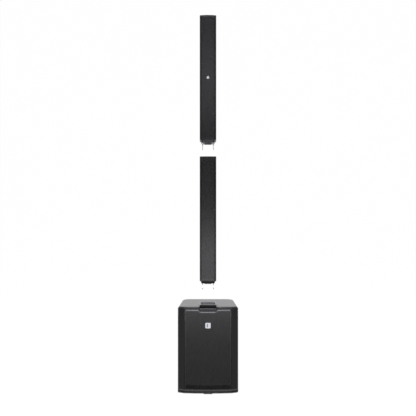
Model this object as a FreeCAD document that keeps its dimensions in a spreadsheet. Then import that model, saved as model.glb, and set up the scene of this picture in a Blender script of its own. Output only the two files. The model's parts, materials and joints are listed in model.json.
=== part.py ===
import FreeCAD, Part
import math
import os

import Sketcher

# Column loudspeaker system: a subwoofer with two column modules above it.
# Millimetres, +X to the right, -Y towards the audience, +Z up.  The origin is the centre of the
# subwoofer's footprint, on the floor.  The columns are modelled lifted off, one above the other.

# ---------------------------------------------------------------- driving dimensions

DRIVING = {
    # subwoofer cabinet
    "sub_half_width": 175.5,
    "sub_rear_half_width": 160.5,
    "sub_front": 147,
    "sub_back": 187,
    "sub_top": 501.5,
    "foot_height": 5,
    "wall": 15,
    "top_wall": 22,
    "rear_wall": 32,
    "rear_corner": 50,
    "top_round": 14,
    "front_round": 4,
    # bowed front with a facet at each side
    "bow_front": 185.5,
    "bow_radius": 1143,
    "crease_x": 136,
    "crease_y": 177.38,
    "facet_x": 161,
    "facet_y": 164.5,
    "corner_y": 149,
    "side_corner": 20,
    "grille_bottom": 10,
    "grille_top": 487,
    "grille_sheet": 2,
    "notch_top_half": 52,
    "notch_bottom_half": 42,
    "notch_depth": 11.5,
    # carry handle
    "handle_half": 54,
    "handle_front": 179,
    "handle_back": 83,
    "handle_bottom": 440,
    "handle_wall": 6,
    "grip_back": 158,
    "grip_top": 493,
    "grip_low": 474,
    "grip_round": 8,
    # bass driver and ports
    "woofer_z": 262,
    "woofer_flange": 152.5,
    "woofer_cutout": 141,
    "baffle_front": 145,
    "baffle_back": 127,
    "port_x": 95,
    "port_z": 66,
    "port_bore": 33,
    # rear electronics panel
    "panel_half_width": 115.5,
    "panel_low": 60,
    "panel_high": 440,
    "panel_inner": 165,
    "panel_face": 168,
    "knob_z": 390,
    "knob_radius": 8,
    "shaft_radius": 3,
    "jack_z": 325,
    "link_z": 268,
    "mains_z": 100,
    # column modules
    "column_half_width": 49,
    "column_bow": 66,
    "column_shoulder": 61,
    "column_back": 54,
    "column_length": 754.5,
    "column_axis": 6,
    "column_forward": 15.5,
    "column_wall": 3,
    "column_slot": 42.6,
    "lower_foot": 627,
    "upper_foot": 1466,
    "plug_height": 14,
    "plug_half_width": 39,
    "plug_half_depth": 51.5,
    "plug_taper": 17.8,
    "plug_corner": 9,
    "foot_shoulder": 6,
    "cap_height": 10,
    "pin_radius": 3,
    "pin_length": 40,
    "pin_x": 33,
    "contact_half": 21,
    "contact_width": 8,
    "contact_drop": 8,
    "driver_pitch": 112,
    "driver_flange": 39,
    # socket that takes a column's foot
    "socket_top": 502.5,
    "socket_half_width": 50,
    "socket_front": 67.5,
    "socket_back": 55.5,
    "socket_depth": 15,
    "socket_floor": 4,
    "well_depth": 12,
    "fit_gap": 0.3,
}

doc = FreeCAD.newDocument("column_pa_system")
sheet = doc.addObject("Spreadsheet::Sheet", "dims")


class Size:
    """A length that also carries the spreadsheet expression it comes from."""

    def __init__(self, value, text=None):
        self.value = float(value)
        self.text = text or "(%.6f)" % value

    def __add__(self, other):
        other = size(other)
        return Size(self.value + other.value, "(%s + %s)" % (self.text, other.text))

    def __sub__(self, other):
        other = size(other)
        return Size(self.value - other.value, "(%s - %s)" % (self.text, other.text))

    def __mul__(self, other):
        other = size(other)
        return Size(self.value * other.value, "(%s * %s)" % (self.text, other.text))

    def __truediv__(self, other):
        other = size(other)
        return Size(self.value / other.value, "(%s / %s)" % (self.text, other.text))

    def __radd__(self, other):
        return size(other) + self

    def __rsub__(self, other):
        return size(other) - self

    def __rmul__(self, other):
        return size(other) * self

    def __neg__(self):
        return Size(-self.value, "(-%s)" % self.text)


def size(value):
    """The value as a Size; plain numbers become constants."""
    return value if isinstance(value, Size) else Size(value)


class Dimensions:
    """The spreadsheet's cells, one attribute for each alias."""

    def __init__(self, table):
        for row, (alias, value) in enumerate(table.items(), start=1):
            sheet.set("A%d" % row, alias)
            sheet.set("B%d" % row, "%g" % value)
            sheet.setAlias("B%d" % row, alias)
            setattr(self, alias, Size(value, "dims.%s" % alias))


D = Dimensions(DRIVING)

# ---------------------------------------------------------------- modelling helpers

ORIGIN_PLANES = {"xy": "XY_Plane", "xz": "XZ_Plane", "yz": "YZ_Plane"}
TURNS = {
    "z": FreeCAD.Rotation(),
    "y": FreeCAD.Rotation(FreeCAD.Vector(1, 0, 0), -90),
    "x": FreeCAD.Rotation(FreeCAD.Vector(0, 1, 0), 90),
}
nodes = []


def bind(feature, prop, value):
    """Set a number on a feature, through the spreadsheet where it comes from there."""
    value = size(value)
    if "dims." in value.text:
        feature.setExpression(prop, value.text)
    elif "." not in prop:
        setattr(feature, prop, value.value)


def place(feature, x=0, y=0, z=0, rotation=FreeCAD.Rotation()):
    spot = [size(value) for value in (x, y, z)]
    feature.Placement = FreeCAD.Placement(FreeCAD.Vector(*[s.value for s in spot]), rotation)
    for letter, value in zip("xyz", spot):
        bind(feature, "Placement.Base.%s" % letter, value)
    return feature


def node(label, feature):
    """Name the finished feature of one sub-part."""
    feature.Label = label
    nodes.append(feature)
    return feature


def column_node(label, feature):
    """Name a sub-part of a column or its socket, and set it forward of the subwoofer's middle."""
    return node(label, place(group(label + "_in_place", feature), y=-D.column_forward))


def box(name, x, y, z):
    """A block; x, y and z are its low and high limits."""
    block = doc.addObject("Part::Box", name)
    for prop, (low, high) in zip(("Length", "Width", "Height"), (x, y, z)):
        bind(block, prop, size(high) - low)
    return place(block, x[0], y[0], z[0])


def rod(name, radius, start, length, axis="z"):
    """A cylinder that leaves start along the positive axis."""
    cylinder = doc.addObject("Part::Cylinder", name)
    bind(cylinder, "Radius", radius)
    bind(cylinder, "Height", length)
    return place(cylinder, *start, rotation=TURNS[axis])


def taper(name, start_radius, end_radius, start, length, axis="z"):
    cone = doc.addObject("Part::Cone", name)
    bind(cone, "Radius1", start_radius)
    bind(cone, "Radius2", end_radius)
    bind(cone, "Height", length)
    return place(cone, *start, rotation=TURNS[axis])


def fuse(name, *shapes):
    union = doc.addObject("Part::MultiFuse", name)
    union.Shapes = list(shapes)
    union.Refine = True
    return union


def cut(name, base, *tools):
    result = doc.addObject("Part::Cut", name)
    result.Base = base
    result.Tool = tools[0] if len(tools) == 1 else fuse(name + "_tools", *tools)
    return result


def common(name, *shapes):
    overlap = doc.addObject("Part::MultiCommon", name)
    overlap.Shapes = list(shapes)
    return overlap


def group(name, *shapes):
    """Separate solids kept together."""
    compound = doc.addObject("Part::Compound", name)
    compound.Links = list(shapes)
    return compound


def mirror_x(name, source):
    mirrored = doc.addObject("Part::Mirroring", name)
    mirrored.Source = source
    mirrored.Normal = FreeCAD.Vector(1, 0, 0)
    return mirrored


def copies(name, source, spots):
    """Copies of the source, moved by each spot (x, y, z) in turn."""
    links = []
    for spot in spots:
        link = doc.addObject("App::Link", "%s_%d" % (name, len(links) + 1))
        link.LinkedObject = source
        link.LinkTransform = True
        links.append(place(link, *spot))
    return links


def arc_between(start, end, radius):
    """The short arc from start to end; a negative radius turns clockwise."""
    chord = end - start
    across = FreeCAD.Vector(-chord.y, chord.x, 0).normalize()
    rise = math.sqrt(max(radius * radius - chord.Length ** 2 / 4, 0))
    centre = (start + end) * 0.5 + across * math.copysign(rise, radius)
    ends = (start, end) if radius > 0 else (end, start)
    angles = [math.atan2(p.y - centre.y, p.x - centre.x) for p in ends]
    circle = Part.Circle(centre, FreeCAD.Vector(0, 0, 1), abs(radius))
    return Part.ArcOfCircle(circle, *angles)


def constrain(sketch, kind, *values):
    """Add a dimension; the last value is its size."""
    length = size(values[-1])
    index = sketch.addConstraint(Sketcher.Constraint(kind, *values[:-1], length.value))
    if "dims." in length.text:
        sketch.setExpression("Constraints[%d]" % index, length.text)


def draw_circle(sketch, x, y, radius):
    centre = FreeCAD.Vector(size(x).value, size(y).value, 0)
    circle = Part.Circle(centre, FreeCAD.Vector(0, 0, 1), size(radius).value)
    index = sketch.addGeometry(circle, False)
    constrain(sketch, "DistanceX", index, 3, x)
    constrain(sketch, "DistanceY", index, 3, y)
    constrain(sketch, "Radius", index, radius)


def draw_loop(sketch, corners):
    """A closed loop; each corner is (x, y) or (x, y, radius of the arc to the next corner)."""
    spots = [FreeCAD.Vector(size(c[0]).value, size(c[1]).value, 0) for c in corners]
    pieces = []
    for place_in_loop, corner in enumerate(corners):
        start = spots[place_in_loop]
        end = spots[(place_in_loop + 1) % len(corners)]
        if len(corner) == 2:
            index = sketch.addGeometry(Part.LineSegment(start, end), False)
            pieces.append((index, 1, 2))
            continue
        radius = size(corner[2])
        index = sketch.addGeometry(arc_between(start, end, radius.value), False)
        constrain(sketch, "Radius", index, radius if radius.value > 0 else -radius)
        pieces.append((index, 1, 2) if radius.value > 0 else (index, 2, 1))
    for place_in_loop, corner in enumerate(corners):
        index, first, last = pieces[place_in_loop]
        following = pieces[(place_in_loop + 1) % len(corners)]
        sketch.addConstraint(Sketcher.Constraint("Coincident", index, last, following[0], following[1]))
        constrain(sketch, "DistanceX", index, first, corner[0])
        constrain(sketch, "DistanceY", index, first, corner[1])


def sketched_body(name, plane, offset, loops):
    """A body with one sketch; a loop that is a tuple (x, y, radius) is a circle."""
    body = doc.addObject("PartDesign::Body", name)
    sketch = body.newObject("Sketcher::SketchObject", name + "_sketch")
    support = [f for f in body.Origin.OriginFeatures if f.Role == ORIGIN_PLANES[plane]][0]
    sketch.AttachmentSupport = [(support, "")]
    sketch.MapMode = "FlatFace"
    offset = size(offset)
    sketch.AttachmentOffset = FreeCAD.Placement(FreeCAD.Vector(0, 0, offset.value), FreeCAD.Rotation())
    bind(sketch, "AttachmentOffset.Base.z", offset)
    for loop in loops:
        if isinstance(loop, tuple):
            draw_circle(sketch, *loop)
        else:
            draw_loop(sketch, loop)
    return body, sketch


def pad(name, plane, low, high, *loops, draft=0):
    """Extrude the loops from low to high; loops inside the first one make holes."""
    offset = -size(high) if plane == "xz" else low
    body, sketch = sketched_body(name, plane, offset, loops)
    feature = body.newObject("PartDesign::Pad", name + "_pad")
    feature.Profile = sketch
    bind(feature, "Length", size(high) - low)
    bind(feature, "TaperAngle", draft)
    return body


def revolve(name, x, z, loop):
    """Turn a loop drawn in radius and depth (Y) about the line along Y through x and z."""
    body, sketch = sketched_body(name, "xy", 0, [loop])
    feature = body.newObject("PartDesign::Revolution", name + "_turn")
    feature.Profile = sketch
    feature.ReferenceAxis = (sketch, ["V_Axis"])
    feature.Angle = 360
    return place(body, x, 0, z)


def round_edges(body, radius, wanted):
    """Fillet the edges of the body that the test accepts."""
    doc.recompute()
    base = body.Tip
    chosen = ["Edge%d" % n for n, edge in enumerate(base.Shape.Edges, start=1) if wanted(edge)]
    fillet = body.newObject("PartDesign::Fillet", body.Name + "_round_%d" % len(body.Group))
    fillet.Base = (base, chosen)
    bind(fillet, "Radius", radius)
    return body


def is_upright(edge):
    bounds = edge.BoundBox
    return bounds.ZLength > 1 and bounds.XLength < 0.01 and bounds.YLength < 0.01


def is_level_at(edge, z):
    bounds = edge.BoundBox
    return abs(bounds.ZMin - z.value) < 0.01 and abs(bounds.ZMax - z.value) < 0.01


def rounded_rectangle(x_low, x_high, y_low, y_high, radius):
    left, right, front, back = [size(v) for v in (x_low, x_high, y_low, y_high)]
    return [
        (left + radius, front),
        (right - radius, front, radius),
        (right, front + radius),
        (right, back - radius, radius),
        (right - radius, back),
        (left + radius, back, radius),
        (left, back - radius),
        (left, front + radius, radius),
    ]


def stadium(x, y, half_length, half_width):
    """A slot outline with round ends."""
    end = size(half_length) - half_width
    return [
        (x - end, y - half_width),
        (x + end, y - half_width, half_width),
        (x + half_length, y, half_width),
        (x + end, y + half_width),
        (x - end, y + half_width, half_width),
        (x - half_length, y, half_width),
    ]


def around(radius, count, first_angle=0):
    """Points (x, z) evenly round a circle."""
    angles = [math.radians(first_angle + 360 * n / count) for n in range(count)]
    return [(radius * math.cos(a), radius * math.sin(a)) for a in angles]


# ---------------------------------------------------------------- subwoofer casing

def front_outline(inset, back):
    """Plan of the bowed, faceted front, drawn in by inset, closed along y = -back."""
    side = D.sub_half_width - inset
    corner = D.side_corner - inset
    facet = (D.facet_x - 0.52 * size(inset), 0.85 * size(inset) - D.facet_y)
    crease = (D.crease_x - 0.3 * size(inset), 0.97 * size(inset) - D.crease_y)
    return [
        (-side, -size(back)),
        (-side, -D.corner_y, corner),
        (-facet[0], facet[1]),
        (-crease[0], crease[1], D.bow_radius - inset),
        crease,
        (*facet, corner),
        (side, -D.corner_y),
        (side, -size(back)),
    ]


def make_cabinet():
    outer = pad("sub_cabinet_outer", "xy", D.foot_height, D.sub_top, [
        (-D.sub_half_width, -D.sub_front),
        (D.sub_half_width, -D.sub_front),
        (D.sub_rear_half_width, D.sub_back),
        (-D.sub_rear_half_width, D.sub_back),
    ])
    round_edges(outer, D.rear_corner, lambda e: is_upright(e) and e.BoundBox.YMin > 0)
    round_edges(outer, D.top_round, lambda e: is_level_at(e, D.sub_top) and e.BoundBox.YMax > 0)
    inner = pad("sub_cabinet_cavity", "xy", D.foot_height + D.wall, D.sub_top - D.top_wall, [
        (D.wall - D.sub_half_width, -D.sub_front - 1),
        (D.sub_half_width - D.wall, -D.sub_front - 1),
        (D.sub_rear_half_width - D.wall, D.sub_back - D.rear_wall),
        (D.wall - D.sub_rear_half_width, D.sub_back - D.rear_wall),
    ])
    above = D.sub_top + 5
    handle_half = D.handle_half + D.fit_gap
    handle_space = box("sub_cabinet_handle_space", (-handle_half, handle_half),
                       (-D.sub_front - 5, D.fit_gap - D.handle_back), (D.handle_bottom, above))
    forward = D.column_forward
    rim = pad("sub_cabinet_socket_rebate", "xy", D.socket_top - 3, above, rounded_rectangle(
        -D.socket_half_width - D.fit_gap, D.socket_half_width + D.fit_gap,
        -D.socket_front - forward - D.fit_gap, D.socket_back - forward + D.fit_gap, 10))
    hole = box("sub_cabinet_socket_hole", (-49.4, 49.4), (-65.9 - forward, 53.9 - forward),
               (D.socket_top - D.socket_depth - D.socket_floor, above))
    window = box("sub_cabinet_socket_window", (-42, 42), (-26 - forward, 14 - forward),
                 (D.handle_bottom, above))
    panel_rebate = box("sub_cabinet_panel_rebate", (-D.panel_half_width - 0.5, D.panel_half_width + 0.5),
                       (D.panel_inner, D.sub_back + 5), (D.panel_low - 0.5, D.panel_high + 0.5))
    panel_opening = box("sub_cabinet_panel_opening", (10.5 - D.panel_half_width, D.panel_half_width - 10.5),
                        (D.sub_back - D.rear_wall - 5, D.sub_back + 5), (D.panel_low + 10, D.panel_high - 10))
    screw_holes = copies("sub_cabinet_screw_hole", rod("panel_screw_hole", 1.5, (0, 157, 0), 12, "y"),
                         panel_screw_spots())
    shell = cut("sub_cabinet_shell", outer, inner, handle_space, rim, hole, window, panel_rebate,
                panel_opening, group("sub_cabinet_screw_holes", *screw_holes))
    node("sub_cabinet", shell)


def round_top(name, cap):
    """Round the cap's top edge: as the cabinet's at the sides, running out to less across the front."""
    doc.recompute()
    rounded = doc.addObject("Part::Fillet", name)
    rounded.Base = cap
    crease = D.crease_x.value + 1
    rounds = []
    for number, edge in enumerate(cap.Shape.Edges, start=1):
        if is_level_at(edge, D.sub_top) and edge.BoundBox.YMin < -D.sub_front.value - 1:
            ends = [edge.valueAt(parameter) for parameter in edge.ParameterRange]
            radii = [(D.top_round if abs(end.x) > crease else D.front_round).value for end in ends]
            rounds.append((number, *radii))
    rounded.Edges = rounds
    return rounded


def make_handle_moulding():
    """The dark cap over the grille, with a carry handle sunk into it and into the cabinet's top."""
    half = D.handle_half
    inside = half - D.handle_wall
    cap = pad("handle_cap", "xy", D.grille_top + D.fit_gap, D.sub_top,
              front_outline(0, D.sub_front + 0.2))
    rounded_cap = round_top("handle_cap_rounded", cap)
    cap_opening = box("handle_cap_opening", (-half, half), (-200, -140), (D.grille_top - 5, D.sub_top + 5))
    cap_sides = cut("handle_cap_sides", rounded_cap, cap_opening)
    tub = box("handle_tub_block", (-half, half), (-D.grip_back, -D.handle_back),
              (D.handle_bottom, D.sub_top))
    tub_space = box("handle_tub_space", (-inside, inside), (-D.grip_back - 5, -D.handle_back - D.handle_wall),
                    (D.handle_bottom + 2 * D.handle_wall, D.sub_top + 5))
    open_tub = cut("handle_tub", tub, tub_space)
    front = -D.handle_front
    lip = front + D.handle_wall
    rear = -D.grip_back
    edge = D.grip_round
    floor = D.handle_bottom + 2 * D.handle_wall
    grip = pad("handle_grip", "yz", -half, half, [
        (front, D.handle_bottom),
        (rear, D.handle_bottom),
        (rear, floor),
        (lip, floor),
        (lip, D.grip_low - 3, -3),
        (lip + 3, D.grip_low),
        (rear - edge, D.grip_low, edge),
        (rear, D.grip_low + edge),
        (rear, D.grip_top - edge, edge),
        (rear - edge, D.grip_top),
        (front + edge, D.grip_top, edge),
        (front, D.grip_top - edge),
    ])
    cheek = box("handle_cheek", (inside, half), (front, rear), (D.handle_bottom, D.grip_top))
    node("handle_moulding", fuse("handle_all", cap_sides, open_tub, grip, cheek,
                                 mirror_x("handle_cheek_left", cheek)))


def make_grille():
    """Folded sheet with a returned lip at the top, bottom and sides; rolled in at the bottom."""
    sheet_inset = D.grille_sheet
    low, high = D.grille_bottom, D.grille_top

    def side_profile(name, inset):
        front = -D.bow_front - 1 + inset
        return pad(name, "yz", -180, 180, [
            (-140, low + inset),
            (-140, high - inset),
            (front + 6 + 0.4 * size(inset), high - inset),
            (front, high - 6 - 0.4 * size(inset)),
            (front, low + 28, 45 - size(inset)),
            (front + 10, low + inset),
        ])

    outer = common("sub_grille_outer", pad("sub_grille_plan", "xy", low, high, front_outline(0, D.sub_front)),
                   side_profile("sub_grille_side", 0))
    inner = common("sub_grille_inner",
                   pad("sub_grille_inner_plan", "xy", low, high,
                       front_outline(sheet_inset, D.sub_front - 2)),
                   side_profile("sub_grille_inner_side", sheet_inset))
    notch = pad("sub_grille_notch", "xz", -200, -170, [
        (-D.notch_bottom_half, high - D.notch_depth),
        (D.notch_bottom_half, high - D.notch_depth),
        (D.notch_top_half + 1, high + 1),
        (-D.notch_top_half - 1, high + 1),
    ])
    gap = D.handle_half + 0.6
    handle_space = box("sub_grille_handle_space", (-gap, gap), (-180, -140), (high - 5, high + 1))
    node("sub_grille", cut("sub_grille_sheet", outer, inner, notch, handle_space))


def make_grille_foam():
    low, high = 52, D.grille_top - 9
    outer = pad("foam_outer", "xy", low, high, front_outline(2.6, 148))
    inner = pad("foam_inner", "xy", low, high, front_outline(5.6, 147))
    handle_space = box("foam_handle_space", (-58, 58), (-200, -140), (D.handle_bottom - 4, high + 1))
    node("sub_grille_foam", cut("foam_sheet", outer, inner, handle_space))


def make_trim_and_feet():
    strip = pad("base_trim_strip", "xy", D.foot_height, D.grille_bottom - D.fit_gap,
                front_outline(0, D.sub_front + 0.2))
    tab = box("base_trim_tab", (-25, 25), (-D.bow_front - 1, -174), (2, D.grille_bottom - D.fit_gap))
    node("base_trim", fuse("base_trim_all", strip, tab))
    foot = taper("foot", 15, 17, (0, 0, 0), D.foot_height)
    feet = copies("foot_at", foot, [(130, -110, 0), (-130, -110, 0), (110, 140, 0), (-110, 140, 0)])
    node("sub_feet", group("feet", *feet))


def make_badge():
    height = 397
    plate = pad("badge_plate", "xz", -D.bow_front - 1.5, -D.bow_front - 0.1,
                rounded_rectangle(-18.5, 18.5, height - 18, height + 18, 2.5))
    node("sub_badge", plate)


def make_baffle():
    half = D.sub_half_width - D.wall - 1.5
    notch = D.handle_half + D.fit_gap
    low = D.foot_height + D.wall + 0.2
    high = D.sub_top - D.top_wall - 0.2
    step = D.handle_bottom - D.fit_gap
    board = pad("baffle_board", "xz", -D.baffle_front, -D.baffle_back, [
        (-half, low),
        (half, low),
        (half, high),
        (notch, high),
        (notch, step),
        (-notch, step),
        (-notch, high),
        (-half, high),
    ], (0, D.woofer_z, D.woofer_cutout), (D.port_x, D.port_z, D.port_bore + 3),
        (-D.port_x, D.port_z, D.port_bore + 3))
    node("front_baffle", board)


def make_ports():
    front = -D.baffle_front
    profile = [
        (D.port_bore, front - 0.5),
        (D.port_bore + 2.5, front - 3),
        (D.port_bore + 7, front - 3),
        (D.port_bore + 7, front),
        (D.port_bore + 2.8, front),
        (D.port_bore + 2.8, 0),
        (D.port_bore, 0),
    ]
    tubes = [revolve("port_tube_%s" % side, x, D.port_z, profile)
             for side, x in (("left", -D.port_x), ("right", D.port_x))]
    node("port_tubes", group("ports", *tubes))


# ---------------------------------------------------------------- bass driver

def make_woofer():
    z = D.woofer_z
    seat = -D.baffle_front
    flange = D.woofer_flange
    inside = D.woofer_cutout - 7
    ledge = seat - 2
    frame = revolve("basket_frame", 0, z, [
        (flange, seat - 5),
        (flange, seat),
        (D.woofer_cutout - 0.5, seat),
        (D.woofer_cutout - 0.5, -136),
        (78, -60),
        (78, -52),
        (50, -52),
        (50, -56),
        (70, -56),
        (70, -64),
        (78, -64),
        (inside, -137.5),
        (inside, ledge),
        (D.woofer_cutout - 1, ledge),
        (D.woofer_cutout - 1, seat - 5),
    ])
    windows = []
    for number in range(6):
        window = box("basket_window_%d" % number, (-25, 25), (-132, -72), (60, 160))
        turn = FreeCAD.Rotation(FreeCAD.Vector(0, 1, 0), 60 * number + 30)
        offset = turn.multVec(FreeCAD.Vector(-25, 0, 60))
        windows.append(place(window, offset.x, -132, z + offset.z, turn))
    spots = [(x, 0, z + y) for x, y in around(147, 8, 22.5)]
    holes = copies("basket_hole", rod("basket_hole_rod", 2.3, (0, seat - 6, 0), 7, "y"), spots)
    node("woofer_basket", cut("basket", frame, group("basket_windows_and_holes", *windows, *holes)))
    head = taper("woofer_screw_head", 3, 4.2, (0, seat - 7.5, 0), 2.5, "y")
    shank = rod("woofer_screw_shank", 2.2, (0, seat - 5, 0), 4.9, "y")
    screws = copies("woofer_screw", fuse("woofer_screw_whole", head, shank), spots)
    node("woofer_screws", group("woofer_screw_set", *screws))
    node("woofer_surround", revolve("woofer_surround_roll", 0, z, [
        (118.4, ledge - 1.2),
        (119.4, ledge - 1.2, 6.6),
        (132.4, ledge - 1.2),
        (139.6, ledge - 1.2),
        (139.6, ledge),
        (131.4, ledge, -5.52),
        (120.4, ledge),
        (118.4, ledge),
    ]))
    spider = [(26.7, -65.5), (76, -65.5), (76, -64), (26.7, -64)]
    node("woofer_spider", revolve("woofer_spider_disc", 0, z, spider))
    node("woofer_magnet", revolve("woofer_magnet_ring", 0, z, [(40, -44), (72, -44), (72, -22), (40, -22)]))
    plate = [(27.4, -52), (49.9, -52), (62, -51.9), (62, -44), (27.4, -44)]
    top_plate = revolve("woofer_top_plate", 0, z, plate)
    yoke = revolve("woofer_yoke", 0, z, [(8, -52), (24.5, -52), (24.5, -22), (65, -22), (65, -14), (8, -14)])
    node("woofer_pole_plates", group("woofer_iron", top_plate, yoke))
    node("woofer_cone", revolve("woofer_cone_paper", 0, z, [
        (26.5, -86.5),
        (118, ledge - 0.2),
        (118, ledge + 1.8),
        (26.5, -84.5),
    ]))
    former = [(25.3, -88), (26.4, -88), (26.4, -38), (25.3, -38)]
    node("woofer_voice_coil", revolve("woofer_former", 0, z, former))
    node("woofer_dust_cap", revolve("woofer_dome", 0, z, [
        (0, -114.3, 73),
        (45, -99.3),
        (44, -98.5, -73),
        (0, -113.1),
    ]))


# ---------------------------------------------------------------- column sockets

def foot_recess(name, top):
    """The space a column's foot, guide pins and contact plug go into, below the level top."""
    low = top - D.socket_depth
    axis = -D.column_axis
    gap = 0.6
    mouth = pad(name + "_mouth", "xy", low, top + 0.1, rounded_rectangle(
        -D.plug_half_width - gap, D.plug_half_width + gap,
        axis - D.plug_half_depth - gap, axis + D.plug_half_depth + gap, D.plug_corner), draft=D.plug_taper)
    well = pad(name + "_well", "xy", low - D.well_depth, low + 1,
               stadium(0, axis, D.contact_half + 0.5, D.contact_width + 0.5))
    bores = [rod("%s_bore_%d" % (name, n), D.pin_radius + D.fit_gap, (x, axis, low - D.pin_length - 3),
                 D.pin_length + 5) for n, x in enumerate((-D.pin_x, D.pin_x), start=1)]
    return fuse(name, mouth, well, *bores)


def pin_sleeves(name, top):
    """Closed sleeves and a contact cup below the recess floor."""
    under = top - D.socket_depth - D.socket_floor
    axis = -D.column_axis
    sleeves = [rod("%s_sleeve_%d" % (name, n), D.pin_radius + 3.3,
                   (x, axis, top - D.socket_depth - D.pin_length - 6), D.pin_length + 6 - D.socket_floor + 1)
               for n, x in enumerate((-D.pin_x, D.pin_x), start=1)]
    cup = box(name + "_cup", (-24, 24), (axis - 11, axis + 11),
              (top - D.socket_depth - D.well_depth - 3, under + 1))
    return [*sleeves, cup]


def contact_block(name, top):
    """Sprung contact pins on an insulating strip at the bottom of a socket's well."""
    floor = top - D.socket_depth - D.well_depth
    axis = -D.column_axis
    strip = box(name + "_strip", (-18, 18), (axis - 5, axis + 5), (floor, floor + 2))
    pins = copies(name + "_pin", rod(name + "_pin_rod", 1.2, (0, axis, floor + 1.5), 3.5),
                  [(x, y, 0) for x in (-12, -4, 4, 12) for y in (-2.5, 2.5)])
    return fuse(name, strip, *pins)


def make_column_socket():
    top = D.socket_top
    flange = pad("socket_flange", "xy", top - 3, top, rounded_rectangle(
        -D.socket_half_width, D.socket_half_width, -D.socket_front, D.socket_back, 10))
    body = box("socket_body", (-49, 49), (-65.5, 53.5), (top - D.socket_depth - D.socket_floor, top - 2))
    whole = fuse("socket_whole", flange, body, *pin_sleeves("socket", top))
    column_node("column_socket", cut("socket_open", whole, foot_recess("socket_recess", top)))
    column_node("socket_contacts", contact_block("sub_contacts", top))


# ---------------------------------------------------------------- rear panel

KNOB_X = (-85, -51, -17, 17, 51, 85)
KNOB_NAMES = ("first_input_knob", "second_input_knob", "line_level_knob",
              "treble_knob", "bass_knob", "main_level_knob")
COMBO_X = (75, 30)
LINE_X = (-10, -42)
MINI_X = -72
PHONO_X = (-55, -80)
LINK_X = 75
BUTTON_X = 20
INLET_X = 50
SWITCH_X = -10


def panel_screw_spots():
    edge = D.panel_half_width - 5
    spots = [(sign * edge, 0, z) for sign in (1, -1) for z in (70, 190, 310, 430)]
    return spots + [(x, 0, z) for x in (-55, 55) for z in (D.panel_low + 5, D.panel_high - 5)]


def make_rear_panel():
    inner, face = D.panel_inner, D.panel_face
    plate = pad("rear_panel_plate", "xz", inner, face, rounded_rectangle(
        -D.panel_half_width, D.panel_half_width, D.panel_low, D.panel_high, 6))
    posts = copies("board_post", rod("board_post_rod", 3, (0, 136.6, 0), inner - 136.6, "y"),
                   [(x, 0, z) for x in (-95, 95) for z in (80, 148, 172, 288)])
    solid = fuse("rear_panel_solid", plate, *posts)

    def hole(name, radius, x, z):
        return rod(name, radius, (x, inner - 5, z), 12, "y")

    openings = [hole("pot_hole_%d" % n, 3.8, x, D.knob_z) for n, x in enumerate(KNOB_X)]
    openings += [hole("combo_hole_%d" % n, 12.2, x, D.jack_z) for n, x in enumerate(COMBO_X)]
    openings += [hole("line_hole_%d" % n, 4.8, x, D.jack_z) for n, x in enumerate(LINE_X)]
    openings += [hole("phono_hole_%d" % n, 4.2, x, D.link_z) for n, x in enumerate(PHONO_X)]
    openings += [hole("led_hole_%d" % n, 1.6, x, D.knob_z + 22) for n, x in enumerate(KNOB_X)]
    openings += [hole("screw_hole_%d" % n, 1.7, x, z) for n, (x, _, z) in enumerate(panel_screw_spots())]
    openings.append(hole("mini_hole", 3.2, MINI_X, D.jack_z))
    openings.append(hole("link_hole", 12.2, LINK_X, D.link_z))
    openings.append(hole("button_hole", 4.3, BUTTON_X, D.link_z))
    openings.append(box("inlet_hole", (INLET_X - 14.2, INLET_X + 14.2), (inner - 5, face + 5),
                        (D.mains_z - 10.7, D.mains_z + 10.7)))
    openings.append(box("switch_hole", (SWITCH_X - 8.7, SWITCH_X + 8.7), (inner - 5, face + 5),
                        (D.mains_z - 13.7, D.mains_z + 13.7)))
    node("rear_panel", cut("rear_panel_cut", solid, *openings))
    head = taper("panel_screw_head", 3.6, 2.6, (0, face, 0), 2, "y")
    shank = rod("panel_screw_shank", 1.45, (0, face - 9, 0), 9.5, "y")
    screws = copies("panel_screw", fuse("panel_screw_whole", head, shank), panel_screw_spots())
    node("rear_panel_screws", group("panel_screw_set", *screws))


def make_heatsink():
    face = D.panel_face
    base = box("heatsink_base", (-104, 104), (face, face + 3), (145, 235))
    fins = copies("heatsink_fin", box("heatsink_fin_plate", (-0.9, 0.9), (face + 2, face + 17), (145, 235)),
                  [(-99 + 9 * n, 0, 0) for n in range(23)])
    node("heatsink", fuse("heatsink_all", base, *fins))


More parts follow.
